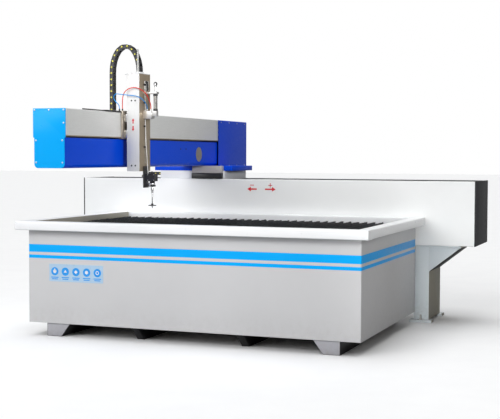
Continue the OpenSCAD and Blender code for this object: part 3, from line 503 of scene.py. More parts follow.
metal("machined_plate", (0.56, 0.50, 0.42), 0.40, (400, 400, 400), 0.35)
metal("brushed_aluminium", (0.72, 0.71, 0.70), 0.42, (1200, 1200, 9), 0.12)
metal("chrome_rod", (0.80, 0.81, 0.83), 0.10, (500, 500, 6), 0.02, 1.0)
metal("stainless_head", (0.66, 0.66, 0.67), 0.26, (700, 700, 14), 0.12)
metal("cast_iron", (0.20, 0.20, 0.21), 0.55, (160, 160, 160), 0.3, 0.6)
plastic("black_plastic", (0.020, 0.020, 0.022), 0.48)
plastic("servo_black", (0.022, 0.022, 0.025), 0.42, 0.2, 0.35)
plastic("bellows_fabric", (0.030, 0.031, 0.036), 0.62, 0.2, 0.15, 0.0006)
plastic("chain_plastic", (0.014, 0.014, 0.016), 0.38, 0.3, 0.3)
plastic("seal_rubber", (0.40, 0.33, 0.25), 0.66, 0.1, 0.3)
plastic("red_hose", (0.74, 0.020, 0.012), 0.4, 0.0, 0.0)
plastic("blue_hose", (0.01, 0.29, 0.74), 0.4, 0.0, 0.0)
surface("tank_steel", "Rust and grit", {"Steel": (0.42, 0.40, 0.37, 1), "Rust": (0.17, 0.09, 0.05, 1),
                                        "Amount": 0.30}, 0.001)
surface("slat_steel", "Rust and grit", {"Steel": (0.040, 0.044, 0.048, 1), "Rust": (0.045, 0.024, 0.016, 1),
                                        "Amount": 0.42}, 0.001)

# %% Finishes for single parts
paint("rim_white", (0.86, 0.87, 0.88), 0.32, dust=0.12)
paint("beam_white", (0.88, 0.89, 0.885), 0.42, dust=0.25)
paint("plate_silver", (0.42, 0.60, 0.78), 0.30, dust=0.0)
paint("plate_blue", (0.003, 0.30, 0.82), 0.35, dust=0.0)
paint("signal_red", (0.70, 0.020, 0.030), 0.45, dust=0.0, coat=0.0)
# brushed metal, tinted tan and darker as painted shade for the ram's side that looks right
metal("ram_side", (0.50, 0.41, 0.30), 0.45, (1200, 1200, 9), 0.2, 0.6)
paint("casing_grey", (0.60, 0.60, 0.61), 0.40, grime=0.25, grime_height=0.30)
# painted shade: a dark tan paint that stands for the shade on faces that look sideways
paint("column_shade", (0.36, 0.34, 0.27), 0.5, dust=0.3, grime=0.5, grime_height=0.25)
paint("lid_grey", (0.50, 0.47, 0.45), 0.45, dust=0.2)
paint("tube_end_grey", (0.26, 0.25, 0.23), 0.5, dust=0.3)
metal("ram_front", (0.76, 0.76, 0.75), 0.50, (1200, 1200, 9), 0.08, 0.08)
metal("cylinder_steel", (0.40, 0.39, 0.37), 0.30, (500, 500, 6), 0.1)
metal("head_black", (0.030, 0.030, 0.034), 0.36, (300, 300, 300), 0.1, 0.5)
plastic("pipe_white", (0.78, 0.78, 0.76), 0.35, 0.05, 0.1)
plastic("pin_yellow", (0.74, 0.68, 0.08), 0.40, 0.0, 0.0)

# %% The CAD pieces take these finishes
PAINT_OF = {name: part.material_slots[0].material.name.split(".")[0] for name, part in frame["nodes"].items()}
plain = {part.material_slots[0].material for part in frame["nodes"].values()}
for name, part in frame["nodes"].items():
    part.material_slots[0].material = FINISH[PAINT_OF[name]]
for old in plain:
    bpy.data.materials.remove(old)
for name, made in FINISH.items():
    made.name = name
print("finishes:", len(FINISH))

# %% [markdown]
# ## The two air hoses
# Two polyurethane hoses feed the cylinder beside the head. Each rises from a fitting on the saddle's tray,
# bends over behind the ram and drops into a fitting on the ram.

# %% Hose routes, in millimetres from the arm's centre, the ram's axis and the floor
ARM_X, SADDLE_Y = mm(-740), mm(-807)
HOSE_D = mm(7)
red_points = [(144, -100, 1772), (144, -100, 1782), (144, -101, 1800), (147, -105, 1834), (153, -109, 1866),
              (165, -112, 1893), (182, -112, 1911), (206, -112, 1924), (240, -112, 1932), (270, -112, 1930),
              (298, -102, 1918), (322, -78, 1898), (336, -60, 1870), (342, -40, 1840), (343, -20, 1812),
              (342, -11, 1795), (342, -10, 1782), (342, -10, 1772)]
blue_points = [(118, -100, 1772), (118, -100, 1782), (110, -100, 1804), (91, -100, 1823), (75, -100, 1842),
               (70, -102, 1860), (78, -106, 1878), (98, -112, 1886), (127, -120, 1884), (160, -123, 1880),
               (203, -119, 1875), (240, -114, 1871), (270, -110, 1866), (296, -100, 1855), (310, -80, 1838),
               (316, -54, 1818), (314, -28, 1802), (312, -16, 1792), (312, -14, 1782), (312, -14, 1772)]


def rounded(points, steps):
    """A smooth line through the points (Catmull-Rom), straight at its two ends."""
    inner = [Vector(p) for p in points[1:-1]]
    line = [Vector(points[0])]
    for i in range(len(inner) - 1):
        a, b, c, d = (inner[min(max(i + k, 0), len(inner) - 1)] for k in (-1, 0, 1, 2))
        for k in range(steps):
            t = k / steps
            line.append(0.5 * (2 * b + (c - a) * t + (2 * a - 5 * b + 4 * c - d) * t ** 2
                               + (3 * b - a - 3 * c + d) * t ** 3))
    return line + [inner[-1], Vector(points[-1])]


def tube(name, line, radius, sides=12):
    """A round tube along a line: a curve with a round bevel, made a mesh."""
    curve = bpy.data.curves.new(name, "CURVE")
    curve.dimensions, curve.bevel_depth, curve.use_fill_caps = "3D", radius, True
    curve.bevel_resolution, curve.twist_mode = max(sides // 4 - 1, 1), "MINIMUM"
    spline = curve.splines.new("POLY")
    spline.points.add(len(line) - 1)
    for point, place in zip(spline.points, line):
        point.co = (*place, 1)
    piece = bpy.data.objects.new(name, curve)
    bpy.context.scene.collection.objects.link(piece)
    choose(piece)
    bpy.ops.object.convert(target="MESH")
    piece = bpy.context.object
    for face in piece.data.polygons:
        face.use_smooth = True
    return piece


def set_blend(piece, a, b, share):
    """Bake the piece's place into its mesh and work out each point's share; the shares are not kept."""
    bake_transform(piece)
    weights = np.array([share(v.co) for v in piece.data.vertices], np.float32)
    return piece


# %% Hoses
for name, points in (("red_hose", red_points), ("blue_hose", blue_points)):
    line = [Vector((ARM_X + mm(p.x), SADDLE_Y + mm(p.y), mm(p.z))) for p in rounded(points, 5)]
    length = sum((b - a).length for a, b in zip(line, line[1:]))
    along = [0.0]
    for a, b in zip(line, line[1:]):
        along.append(along[-1] + (b - a).length / length)
    hose = tube(name + "_tube", line, HOSE_D / 2)
    hose.data.materials.append(FINISH[name])
    set_blend(hose, "y_saddle", "ram",
              lambda co: along[min(range(len(line)), key=lambda i: (line[i] - co).length_squared)])
    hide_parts(name)
    print(name, round(length, 3), "m")

# %% [markdown]
# ## Floor and light
# A pale floor, two broad suns and three soft boxes stand for a product studio. The key light comes from the front
# and a little from the left, so faces that look right are a step darker and the edges of the boxes read well.
# Two small boxes with a narrow beam lift only the arm and the right column. The camera sees the floor and the
# room white, but they throw less light than that, so the machine's own whites keep their shape.

# %% Floor, world and lamps
tree, shader = material("studio_floor")
paper = mix(tree, ramp(tree, noise(tree, 3, 4), 0.3, 0.7), (0.95, 0.95, 0.955, 1), (0.98, 0.98, 0.98, 1))
seen = node(tree, "LightPath").outputs["Is Camera Ray"]
tree.links.new(mix(tree, seen, (0.30, 0.30, 0.30, 1), paper), shader.inputs["Base Color"])
shader.inputs["Roughness"].default_value = 0.7
deselect()
bpy.ops.mesh.primitive_plane_add(size=160, location=(0, 0, 0))
floor = settle(bpy.context.object, "studio_floor")
floor.data.materials.append(FINISH["studio_floor"])

world = bpy.data.worlds.new("studio")
bpy.context.scene.world = world
world.use_nodes = True
sky = world.node_tree
background = sky.nodes["Background"]
seen = node(sky, "LightPath").outputs["Is Camera Ray"]
side = node(sky, "SeparateXYZ", Vector=node(sky, "TexCoord").outputs["Generated"]).outputs["X"]
room = mix(sky, ramp(sky, side, -0.2, 0.8), (0.46, 0.47, 0.48, 1), (0.13, 0.125, 0.115, 1))
wire(sky, background.inputs["Color"], mix(sky, seen, room, (1, 1, 1, 1)))


def lamp(name, kind, place, target, power, size):
    """A lamp at place that points at target. size is an area lamp's side in metres, or a sun's spread in degrees."""
    data = bpy.data.lights.new(name, kind)
    data.energy = power
    if kind == "AREA":
        data.size = size
    else:
        data.angle = math.radians(size)
    made = bpy.data.objects.new(name, data)
    bpy.context.scene.collection.objects.link(made)
    made.location = place
    made.rotation_euler = (Vector(target) - Vector(place)).to_track_quat("-Z", "Y").to_euler()
    return made


lamp("key", "SUN", (-3.2, -7.5, 4.6), (0, 0, 0.8), 1.2, 35)
lamp("ceiling", "SUN", (0, 0, 9), (0, 0, 0), 1.5, 60)
lamp("left_box", "AREA", (-4.6, -5.2, 2.6), (-0.6, -0.5, 0.6), 62, 2.5)
arm_fill = lamp("arm_fill", "AREA", (4.2, -4.6, 3.0), (-0.6, -0.4, 1.55), 14, 1.6)
arm_fill.data.spread = math.radians(42)
leg_fill = lamp("leg_fill", "AREA", (2.7, -6.0, 0.9), (1.75, 0.9, 0.45), 2.2, 0.7)
leg_fill.data.spread = math.radians(20)
bpy.context.scene.view_settings.view_transform = "Standard"
print("lamps:", len(bpy.data.lights))

# %% [markdown]
# ## Finer copies of CAD pieces
# Plates, brackets and castings already have the right shape, but their corners are razor sharp.
# A copy is merged, its flat faces are joined again, and every edge gets a small round that catches the light.
# The copy then stands for the CAD piece, and rides on the same body.

# %% Rounded copies of plates, castings and boxes
def merged_copy(name, copy_name, flatten=False):
    """A free copy of a CAD piece with its points merged and, on request, its flat faces joined."""
    copy = another(frame["nodes"][name], copy_name)
    copy.parent = None
    for key in list(copy.keys()):
        del copy[key]
    pick_all(copy)
    bpy.ops.mesh.remove_doubles(threshold=mm(0.02))
    if flatten:
        bpy.ops.mesh.dissolve_limited(angle_limit=math.radians(1))
    done()
    return copy


def rounded_copy(name, width, paint=None):
    copy = merged_copy(name, name + "_rounded", flatten=True)
    soften(copy, width)
    return finished(copy, paint or PAINT_OF[name], BODY[name], name)


for name, width in (("skids", 4), ("beam_columns", 5), ("column_gussets", 3), ("beam_end_caps", 3),
                    ("carriage_riser", 4), ("carriage_plate", 3), ("drive_cover_base", 3), ("saddle", 1.5),
                    ("saddle_tray", 1), ("z_blocks", 1.5), ("x_blocks", 2), ("y_blocks", 1.5), ("ram_cap", 1),
                    ("head_bracket", 1.5), ("air_brackets", 1.2), ("x_servo", 3), ("y_servo", 3), ("z_servo", 2),
                    ("x_screw_bearings", 2), ("slot_seal", 1), ("arm_core", 4), ("slat_combs", 1)):
    rounded_copy(name, mm(width))
rounded_copy("drive_cover_lid", mm(4), "lid_grey")
rounded_copy("rim_end_caps", mm(1.5), "tube_end_grey")


# %% Faces with a second finish, darker paint that stands for painted shade
def second_paint(piece, paint, test):
    """Give the faces that pass the test another finish."""
    piece.data.materials.append(FINISH[paint])
    for face in piece.data.polygons:
        if test(face.center, face.normal):
            face.material_index = len(piece.data.materials) - 1


made = bpy.data.objects
# painted shade: the columns' sideways faces take the dark tan paint, standing for the shade on them
second_paint(made["beam_columns_rounded"], "column_shade", lambda middle, normal: abs(normal.x) > 0.7)
# painted shade: the skids' sides and undersides are painted black, standing for the shadow on them
second_paint(made["skids_rounded"], "black_paint", lambda middle, normal: abs(normal.x) > 0.3 or normal.z < -0.3)
# painted shade: the gussets' undersides are painted charcoal, standing for the shade under them
second_paint(made["column_gussets_rounded"], "charcoal_paint", lambda middle, normal: normal.z < -0.3)
print("two finishes: columns, skids and gussets")

# %% [markdown]
# ## Tank casing
# The casing is sheet folded round the corners and turned under at the foot. It starts as a box: the upright
# edges are bevelled into bends, the top is opened, the foot is inset into a flange, and the walls get their
# thickness at the end. The two azure stripes are masked before spraying, so straight cuts run round the casing
# and the faces between them take a second paint.

# %% Casing with painted stripes
low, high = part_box("tank_casing")
casing = box("casing_panels", low, high)
bevel_edges(casing, lambda middle, way: abs(way.z) > 0.9, mm(8), 4)
drop_faces(casing, lambda middle, normal: normal.z > 0.9)
FOOT_W = mm(57)
pick_faces(casing, lambda middle, normal: normal.z < -0.9)
bpy.ops.mesh.inset(thickness=FOOT_W)
bpy.ops.mesh.delete(type="FACE")
done()
STRIPES = ((mm(610), mm(636)), (mm(658), mm(718)))
slice_at(casing, 2, [edge for stripe in STRIPES for edge in stripe])
casing.data.materials.append(FINISH["casing_grey"])
casing.data.materials.append(FINISH["azure_paint"])
painted = 0
for face in casing.data.polygons:
    in_stripe = any(a < face.center.z < b for a, b in STRIPES)
    if in_stripe and face.center.y < high.y - mm(20):
        face.material_index = 1
        painted += 1
apply_modifier(casing, "SOLIDIFY", thickness=mm(3), offset=-1)
smooth(casing)
finished(casing, None, "base", "tank_casing")
print("stripe faces:", painted)

# %% [markdown]
# ## Nameplate
# The plate on the casing's front carries five round pictures with a caption bar under each. The pictures here
# are plain shapes of our own: a drop, a triangle, a square, a hexagon and a ring, so the plate says nothing.

# %% Nameplate with five pictures
PLATE_LOW, PLATE_HIGH = Vector((mm(-1163), low.y - mm(2), mm(433))), Vector((mm(-690), low.y, mm(569)))
FRONT = PLATE_LOW.y
DISC_PITCH = mm(93.5)
plate = box("nameplate", PLATE_LOW, PLATE_HIGH)
bevel_edges(plate, lambda middle, way: abs(way.y) > 0.9, mm(6), 4)
press(plate, lambda middle, normal: normal.y < -0.9, mm(3), mm(-0.4))
finished(soften(plate, mm(0.2)), "plate_silver", "base")
discs, marks = [], []
for i, sides in enumerate((24, 3, 4, 6, 24)):
    x, z = PLATE_LOW.x + mm(50) + i * DISC_PITCH, mm(512)
    discs.append(rod("disc", (x, FRONT, z), (x, FRONT - mm(0.8), z), mm(32), 40))
    marks.append(rod("mark", (x, FRONT - mm(0.6), z), (x, FRONT - mm(1.4), z), mm(15), sides))
    if i == 0:
        marks.append(rod("drop", (x, FRONT - mm(1.0), z + mm(8)), (x, FRONT - mm(1.05), z + mm(25)), mm(10), 12, 0))
    if i == 4:
        discs.append(rod("hole", (x, FRONT - mm(0.6), z), (x, FRONT - mm(1.7), z), mm(9), 24))
    for j, wide in ((0, 66), (1, 52)):
        discs.append(box("caption", (x - mm(wide / 2), FRONT - mm(0.5), mm(462 - 13 * j)),
                         (x + mm(wide / 2), FRONT, mm(469 - 13 * j))))
finished(smooth(join(discs, "nameplate_discs")), "plate_blue", "base")
finished(smooth(join(marks, "nameplate_marks")), "white_paint", "base")

# %% [markdown]
# ## Rim tubes
# Four square tubes are welded into a frame on the casing. Only their long edges are rounded, as on drawn tube,
# so the front and rear tubes run through and the side tubes meet them at a thin line.

# %% Rim of four tubes
low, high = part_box("tank_rim")
SIDE_W, FRONT_W, REAR_W = mm(100), mm(115), mm(100)
bars = []
for name, a, b in (("front", (low.x, low.y), (high.x, low.y + FRONT_W)),
                   ("rear", (low.x, high.y - REAR_W), (high.x, high.y)),
                   ("left", (low.x, low.y + FRONT_W), (low.x + SIDE_W, high.y - REAR_W)),
                   ("right", (high.x - SIDE_W, low.y + FRONT_W), (high.x, high.y - REAR_W))):
    bar = box("rim_" + name, (*a, low.z), (*b, high.z))
    along_x = name in ("front", "rear")
    bevel_edges(bar, lambda middle, way: abs(way.x if along_x else way.y) > 0.9, mm(7), 4)
    bars.append(bar)
rim = smooth(join(bars, "rim_tubes"))
finished(rim, "rim_white", "base", "tank_rim")
# painted shade: the left tube's inner face, which looks right, takes the dark tan side-shade paint
second_paint(rim, "column_shade", lambda middle, normal: normal.x > 0.7 and middle.x < 0)

# %% [markdown]
# ## Slatted bed
# The slats are sacrificial: the jet cuts into their tops, and they stand in water. One slat is modelled, sliced
# along its length, copied across the tank, and then all of them are worn together by a displacement that only
# lowers their top edge, so no two slats are worn alike.

# %% Slats with worn tops
low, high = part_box("slats")
SLAT_T, SLAT_PITCH = mm(4), mm(70)
count = round((high.x - low.x - SLAT_T) / SLAT_PITCH) + 1
first = box("slat", (low.x, low.y, low.z), (low.x + SLAT_T, high.y, high.z))
slice_at(first, 1, [low.y + (high.y - low.y) * k / 90 for k in range(1, 90)])
slats = join([first] + [another(first, f"slat_{k}", (k * SLAT_PITCH, 0, 0)) for k in range(1, count)], "worn_slats")
top = slats.vertex_groups.new(name="top")
top.add([v.index for v in slats.data.vertices if v.co.z > high.z - mm(1)], 1.0, "ADD")
wear = bpy.data.textures.new("jet_wear", "CLOUDS")
wear.noise_scale, wear.noise_depth = 0.045, 3
wear.contrast = 2.2
apply_modifier(slats, "DISPLACE", texture=wear, texture_coords="LOCAL", direction="Z", mid_level=0.0,
               strength=mm(-5), vertex_group="top")
finished(slats, "slat_steel", "base", "slats")
print("slats:", count)

# %% [markdown]
# ## Turned screws
# The three screws turn inside their bearings, so they are round here and a little thinner than their bores.

# %% Turned screws
for name in ("x_screw", "y_screw", "z_screw"):
    low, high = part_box(name)
    middle, reach = (low + high) / 2, high - low
    along = max(range(3), key=lambda i: reach[i])
    start, end = middle.copy(), middle.copy()
    start[along], end[along] = low[along], high[along]
    shaft = rod(name + "_turned", start, end, min(reach) / 2 - mm(0.3), 48)
    press(shaft, lambda middle, normal: abs(normal[along]) > 0.9, mm(1.5), mm(0))
    finished(smooth(shaft), PAINT_OF[name], BODY[name], name)
print("turned x_screw, y_screw and z_screw")

# %% [markdown]
# ## Beam covers
# Each long cover is one folded sheet: front, a lip at the top and a turned foot. Both covers are cut from one
# box, so their bends match: the ends are opened, the top and the foot lose their middle, and the rest gets the
# sheet's thickness.

# %% Beam covers
low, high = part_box("beam_covers")
LIP, FOLD = mm(24), mm(60)
covers = box("beam_sheets", low, high)
bevel_edges(covers, lambda middle, way: abs(way.x) > 0.9, mm(6), 4)
drop_faces(covers, lambda middle, normal: abs(normal.x) > 0.9)
slice_at(covers, 1, [low.y + LIP, high.y - LIP])
drop_faces(covers, lambda middle, normal: normal.z > 0.9 and low.y + LIP < middle.y < high.y - LIP)
slice_at(covers, 1, [low.y + FOLD, high.y - FOLD])
drop_faces(covers, lambda middle, normal: normal.z < -0.9 and low.y + FOLD < middle.y < high.y - FOLD)
apply_modifier(covers, "SOLIDIFY", thickness=mm(3), offset=-1)
finished(smooth(covers), "beam_white", "base", "beam_covers")

# %% [markdown]
# ## Arrows on the beam
# Two red arrows show the travel directions, with a minus and a plus above them. Each arrow is a flat block with
# a three-sided head, laid on the sheet like vinyl.

# %% Arrow and sign shapes
def arrow(name, tail, tip, head, shaft, depth):
    """A flat arrow from tail to tip in X and Z, its back at tail's Y."""
    tail, tip = Vector(tail), Vector(tip)
    way = (tip - tail).normalized()
    side = way.cross(Vector((0, 1, 0)))
    neck = tip - way * head
    back = Vector((0, depth, 0))
    body = box(name, (-0.5, 0, -0.5), (0.5, 1, 0.5))
    for v in body.data.vertices:
        v.co = (tail + (neck - tail) * (v.co.x + 0.5)) + side * shaft * v.co.z - back * (1 - v.co.y)
    point = rod(name + "_head", (0, 0, 0), (0, 1, 0), 1.0, 3)
    corners = sorted({(round(v.co.x, 4), round(v.co.z, 4)) for v in point.data.vertices},
                     key=lambda c: math.atan2(c[1], c[0]))
    places = [neck + side * head * 0.62, tip, neck - side * head * 0.62]
    for v in point.data.vertices:
        k = corners.index((round(v.co.x, 4), round(v.co.z, 4)))
        v.co = places[k] - back * (1 if v.co.y > 0.5 else 0)
    for piece in (point, body):
        pick_all(piece)
        bpy.ops.mesh.normals_make_consistent(inside=False)
        done()
    return join([body, point], name)


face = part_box("beam_covers")[0].y - mm(0.2)
signs = [arrow("arrow_left", (mm(-96), face, mm(1118)), (mm(-186), face, mm(1118)), mm(34), mm(13), mm(0.6)),
         arrow("arrow_right", (mm(-18), face, mm(1118)), (mm(82), face, mm(1118)), mm(34), mm(13), mm(0.6)),
         box("minus", (mm(-160), face - mm(0.6), mm(1150)), (mm(-122), face, mm(1156))),
         box("plus_a", (mm(13), face - mm(0.6), mm(1150)), (mm(51), face, mm(1156))),
         box("plus_b", (mm(29), face - mm(0.6), mm(1134)), (mm(35), face, mm(1172)))]
finished(join(signs, "travel_signs"), "signal_red", "base")

# %% [markdown]
# ## Bellows
# Folded covers keep grit off the beam's rails and stretch as the carriage moves. A bellows is a strip sliced
# at every half fold; every second cut is then lowered, and the strip gets its cloth's thickness.

# %% Pleated bellows
PLEAT = mm(20)


def bellows(name, stretch_from_left):
    low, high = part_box(name)
    deselect()
    bpy.ops.mesh.primitive_plane_add(size=1, location=((low.x + high.x) / 2, (low.y + high.y) / 2, high.z - mm(0.6)))
    piece = bpy.context.object
    piece.scale = (high.x - low.x, high.y - low.y, 1)
    settle(piece, name + "_pleats")
    folds = round((high.x - low.x) / PLEAT) * 2
    slice_at(piece, 0, [low.x + (high.x - low.x) * k / folds for k in range(1, folds)])
    step = (high.x - low.x) / folds
    pick_edges(piece, lambda middle, way: abs(way.y) > 0.9 and round((middle.x - low.x) / step) % 2 == 1)
    bpy.ops.transform.translate(value=(0, 0, low.z - high.z + mm(1.2)))
    done()
    apply_modifier(piece, "SOLIDIFY", thickness=mm(1.2), offset=0)
    piece.data.materials.append(FINISH["bellows_fabric"])
    span = high.x - low.x
    set_blend(piece, "base", "x_carriage",
              lambda co: (co.x - low.x) / span if stretch_from_left else (high.x - co.x) / span)
    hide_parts(name)
    print(piece.name, folds // 2, "folds")


bellows("bellows_left", True)
bellows("bellows_right", False)

# %% [markdown]
# ## Arm covers
# The lower cover is a trough rolled along its two bottom edges, the upper one a lid with a lip that leaves a
# slot for the saddle's foot, and the rear housing a deeper box. Each is a box with its bends bevelled in,
# opened where the next part closes it, and thickened inwards, so its outside keeps the CAD size.

# %% Lower cover, upper cover and rear housing
low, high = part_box("arm_lower_cover")
lower = box("arm_trough", low, high)
bevel_edges(lower, lambda middle, way: abs(way.y) > 0.9 and middle.z < low.z + mm(1), mm(30), 10)
drop_faces(lower, lambda middle, normal: normal.z > 0.9 or abs(normal.y) > 0.9)
apply_modifier(lower, "SOLIDIFY", thickness=mm(2), offset=-1)
finished(smooth(lower), "blue_paint", "x_carriage", "arm_lower_cover")

low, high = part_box("arm_upper_cover")
SLOT_H = mm(18)
upper = box("arm_lid", low, high)
bevel_edges(upper, lambda middle, way: abs(way.y) > 0.9 and middle.z > high.z - mm(1), mm(7), 5)
drop_faces(upper, lambda middle, normal: normal.z < -0.9 or abs(normal.y) > 0.9)
pick_edges(upper, lambda middle, way: middle.z < low.z + mm(1) and middle.x > high.x - mm(1))
bpy.ops.transform.translate(value=(0, 0, SLOT_H))
done()
pick_edges(upper, lambda middle, way: middle.z < low.z + mm(1) and middle.x < low.x + mm(1))
bpy.ops.mesh.extrude_edges_move(TRANSFORM_OT_translate={"value": (mm(29), 0, 0)})
done()
apply_modifier(upper, "SOLIDIFY", thickness=mm(2), offset=-1)
finished(smooth(upper), "brushed_stainless", "x_carriage", "arm_upper_cover")

low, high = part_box("arm_rear_housing")
housing = box("arm_end_housing", low, high)
bevel_edges(housing, lambda middle, way: middle.y > low.y + mm(1), mm(6), 4)
drop_faces(housing, lambda middle, normal: normal.y < -0.9)
apply_modifier(housing, "SOLIDIFY", thickness=mm(2), offset=-1)
finished(smooth(housing), "blue_paint", "x_carriage", "arm_rear_housing")
rounded_copy("arm_front_cap", mm(2.5))

# %% [markdown]
# ## Button-head screws
# Every cover is held by socket screws with domed heads. One is made from a short cylinder: its top edge is
# rounded and a hexagon is pressed in. It's copied to each place where the CAD has a head, turned to face out.

# %% One screw, copied to every CAD head
def loose_boxes(name):
    """Lowest and highest corners of each separate solid of a CAD piece."""
    pick_all(merged_copy(name, "scratch"))
    bpy.ops.mesh.separate(type="LOOSE")
    done()
    found = []
    for piece in list(bpy.context.selected_objects):
        co = np.array([v.co for v in piece.data.vertices])
        found.append((Vector(co.min(0)), Vector(co.max(0))))
        bpy.data.objects.remove(piece)
    return found


def screw(name, radius, height, sides=16):
    piece = rod(name, (0, 0, 0), (0, 0, height), radius, sides)
    bevel_edges(piece, lambda middle, way: middle.z > height * 0.9, height * 0.45, 2)
    hexagon = rod("hexagon", (0, 0, height * 0.45), (0, 0, height * 2), radius * 0.48, 6)
    return smooth(cut(piece, hexagon), 40)


def copies(model, name, places):
    """One object with a copy of the model at each (place, direction)."""
    made = []
    for k, (place, way) in enumerate(places):
        turn = Vector(way).to_track_quat("Z", "Y").to_matrix().to_4x4()
        made.append(another(model, f"{name}_{k}", matrix=Matrix.Translation(place) @ turn))
    return join(made, name)


places = []
for a, b in loose_boxes("arm_screws"):
    size, middle = b - a, (a + b) / 2
    if size.x < size.y:
        out = 1 if middle.x > ARM_X else -1
        places.append(((a.x if out > 0 else b.x, middle.y, middle.z), (out, 0, 0)))
    else:
        out = -1 if middle.y < 0 else 1
        places.append(((middle.x, b.y if out < 0 else a.y, middle.z), (0, out, 0)))
model = screw("cover_screw", mm(6), mm(2.9))
finished(copies(model, "cover_screws", places), "zinc_steel", "x_carriage", "arm_screws")

plugs = [((mm(-617), y, mm(1471)), (1, 0, 0)) for y in (mm(208), mm(323))]
finished(copies(model, "cover_plugs", plugs), "black_plastic", "x_carriage")
bpy.data.objects.remove(model)
print("screws:", len(places))

# %% [markdown]
# ## Round access plate
# A turned disc closes the hole for greasing the screw: a shallow step near its edge and six small screws.

# %% Access plate
low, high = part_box("access_plate")
centre, reach = (low + high) / 2, (high.y - low.y) / 2
disc = rod("access_disc", (low.x, centre.y, centre.z), (high.x - mm(0.6), centre.y, centre.z), reach, 64)
press(disc, lambda middle, normal: normal.x > 0.9, mm(9), mm(-0.6))
press(disc, lambda middle, normal: normal.x > 0.9 and (middle - centre).length < mm(20), mm(22), mm(0.5))
finished(soften(disc, mm(0.4)), "machined_plate", "x_carriage", "access_plate")
small = screw("small_screw", mm(3), mm(1.6), 12)
ring_r = reach - mm(15)
ring = [((high.x - mm(0.8), centre.y + ring_r * math.cos(a), centre.z + ring_r * math.sin(a)), (1, 0, 0))
        for a in (math.radians(60 * k + 30) for k in range(6))]
finished(copies(small, "access_screws", ring), "zinc_steel", "x_carriage")

# %% [markdown]
# ## Ram
# The ram is a hollow column of folded plate. Its front carries countersunk screws at the top and the bottom and
# two red arrows for up and down; its side, towards the head, is bare brushed metal with a slot and a window.
# The side's metal is tinted tan and darker than the front, as painted shade. The front and the side take different
# finishes, so the faces are chosen by where they look.

# %% Ram column
low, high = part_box("ram_column")
ram = rounded_copy("ram_column", mm(1.5), "ram_front")
# painted shade: the faces that look right take the tan, darker side metal
second_paint(ram, "ram_side", lambda middle, normal: normal.x > 0.6)
sockets = [((low.x + mm(x), low.y - mm(0.1), z), (0, 1, 0)) for x in (40, 72) for z in (mm(1834), low.z + mm(44))]
rings = []
for k, (place, way) in enumerate(sockets):
    seat = rod(f"seat_{k}", place, Vector(place) + Vector((0, mm(-0.8), 0)), mm(6.5), 20)
    press(seat, lambda middle, normal: normal.y < -0.9, mm(2.2), mm(-0.7))
    rings.append(seat)
finished(smooth(join(rings, "ram_screw_seats")), "servo_black", "ram")
face, middle_x = low.y - mm(0.2), (low.x + high.x) / 2
ram_arrows = [arrow("arrow_up", (middle_x, face, mm(1658)), (middle_x, face, mm(1698)), mm(18), mm(10), mm(0.5)),
              arrow("arrow_down", (middle_x, face, mm(1640)), (middle_x, face, mm(1600)), mm(18), mm(10), mm(0.5))]
finished(join(ram_arrows, "ram_arrows"), "signal_red", "ram")

# %% [markdown]
# ### Feed pipe and perforated bracket
# The abrasive reaches the head through a rigid white pipe in two lengths, clipped to the ram's side.
# At the top a perforated bracket carries the hoses that come out of the chain.

# %% Pipe, clips and bracket
side = high.x
PIPE_R = mm(3.5)
PIPE_RUNS = (("pipe_a", ((7, -820, 1988), (8, -820, 1900), (10, -820, 1757))),
             ("pipe_b", ((10, -820, 1696), (16, -818, 1500), (27, -814, 1320), (30, -812, 1275))))
pipe = [tube(name, [Vector((side + mm(x), mm(y), mm(z))) for x, y, z in run], PIPE_R, 16) for name, run in PIPE_RUNS]
finished(join(pipe, "feed_pipe"), "pipe_white", "ram")
clips = []
for z in (1960, 1820, 1640, 1480):
    clip = box("clip", (side, mm(-829), mm(z - 6)), (side + mm(14), mm(-811), mm(z + 6)))
    bevel_edges(clip, lambda middle, way: abs(way.z) > 0.9 and middle.x > side + mm(10), mm(5), 4)
    press(clip, lambda middle, normal: abs(normal.z) > 0.9, mm(1.2), mm(-1))
    clips.append(clip)
finished(smooth(join(clips, "pipe_clips")), "black_plastic", "ram")

low_c, high_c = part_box("ram_cap")
strap = box("hose_strap", (high_c.x - mm(34), SADDLE_Y - mm(62), low_c.z + mm(5)),
            (high_c.x - mm(31), SADDLE_Y - mm(38), low_c.z + mm(190)))
hole_y, hole_zs = SADDLE_Y - mm(50), [low_c.z + mm(20 + 20 * k) for k in range(9)]
holes = [rod("hole", (high_c.x - mm(40), hole_y, z), (high_c.x - mm(20), hole_y, z), mm(4), 12) for z in hole_zs]
cut(strap, holes)
finished(soften(strap, mm(0.4), 1), "pipe_white", "ram")

# %% [markdown]
# ## Energy chains
# A cable chain is one link many times over: two side plates with waisted middles, two cross bars, and a pin
# with a bright cap at every joint. One link of a few dozen faces is made lying along Z, then copied along the
# chain's middle line and turned to follow it. A real chain rolls; this one keeps the shape it is built in.

# %% One link
LINK_PITCH, LINK_H, LINK_W = mm(46.5), mm(30), mm(53)


def chain_link():
    """Two cheeks and two cross bars."""
    parts = []
    for side in (-1, 1):
        y = side * (LINK_W / 2 - mm(2.4))
        cheek = box("cheek", (-LINK_H / 2, y - mm(2.2), -mm(6)), (LINK_H / 2, y + mm(2.2), LINK_PITCH + mm(2)))
        bevel_edges(cheek, lambda middle, way: abs(way.y) > 0.9, mm(7), 2)
        press(cheek, lambda middle, normal: abs(normal.y) > 0.9 and normal.y * side > 0, mm(4.5), mm(-1.2))
        parts.append(cheek)
    for x in (-1, 1):
        bar = box("bar", (x * (LINK_H / 2 - mm(1.8)) - mm(1.6), -LINK_W / 2 + mm(4), mm(12)),
                  (x * (LINK_H / 2 - mm(1.8)) + mm(1.6), LINK_W / 2 - mm(4), LINK_PITCH - mm(12)))
        bevel_edges(bar, lambda middle, way: abs(way.y) > 0.9, mm(1), 1)
        parts.append(bar)
    return join(parts, "link")


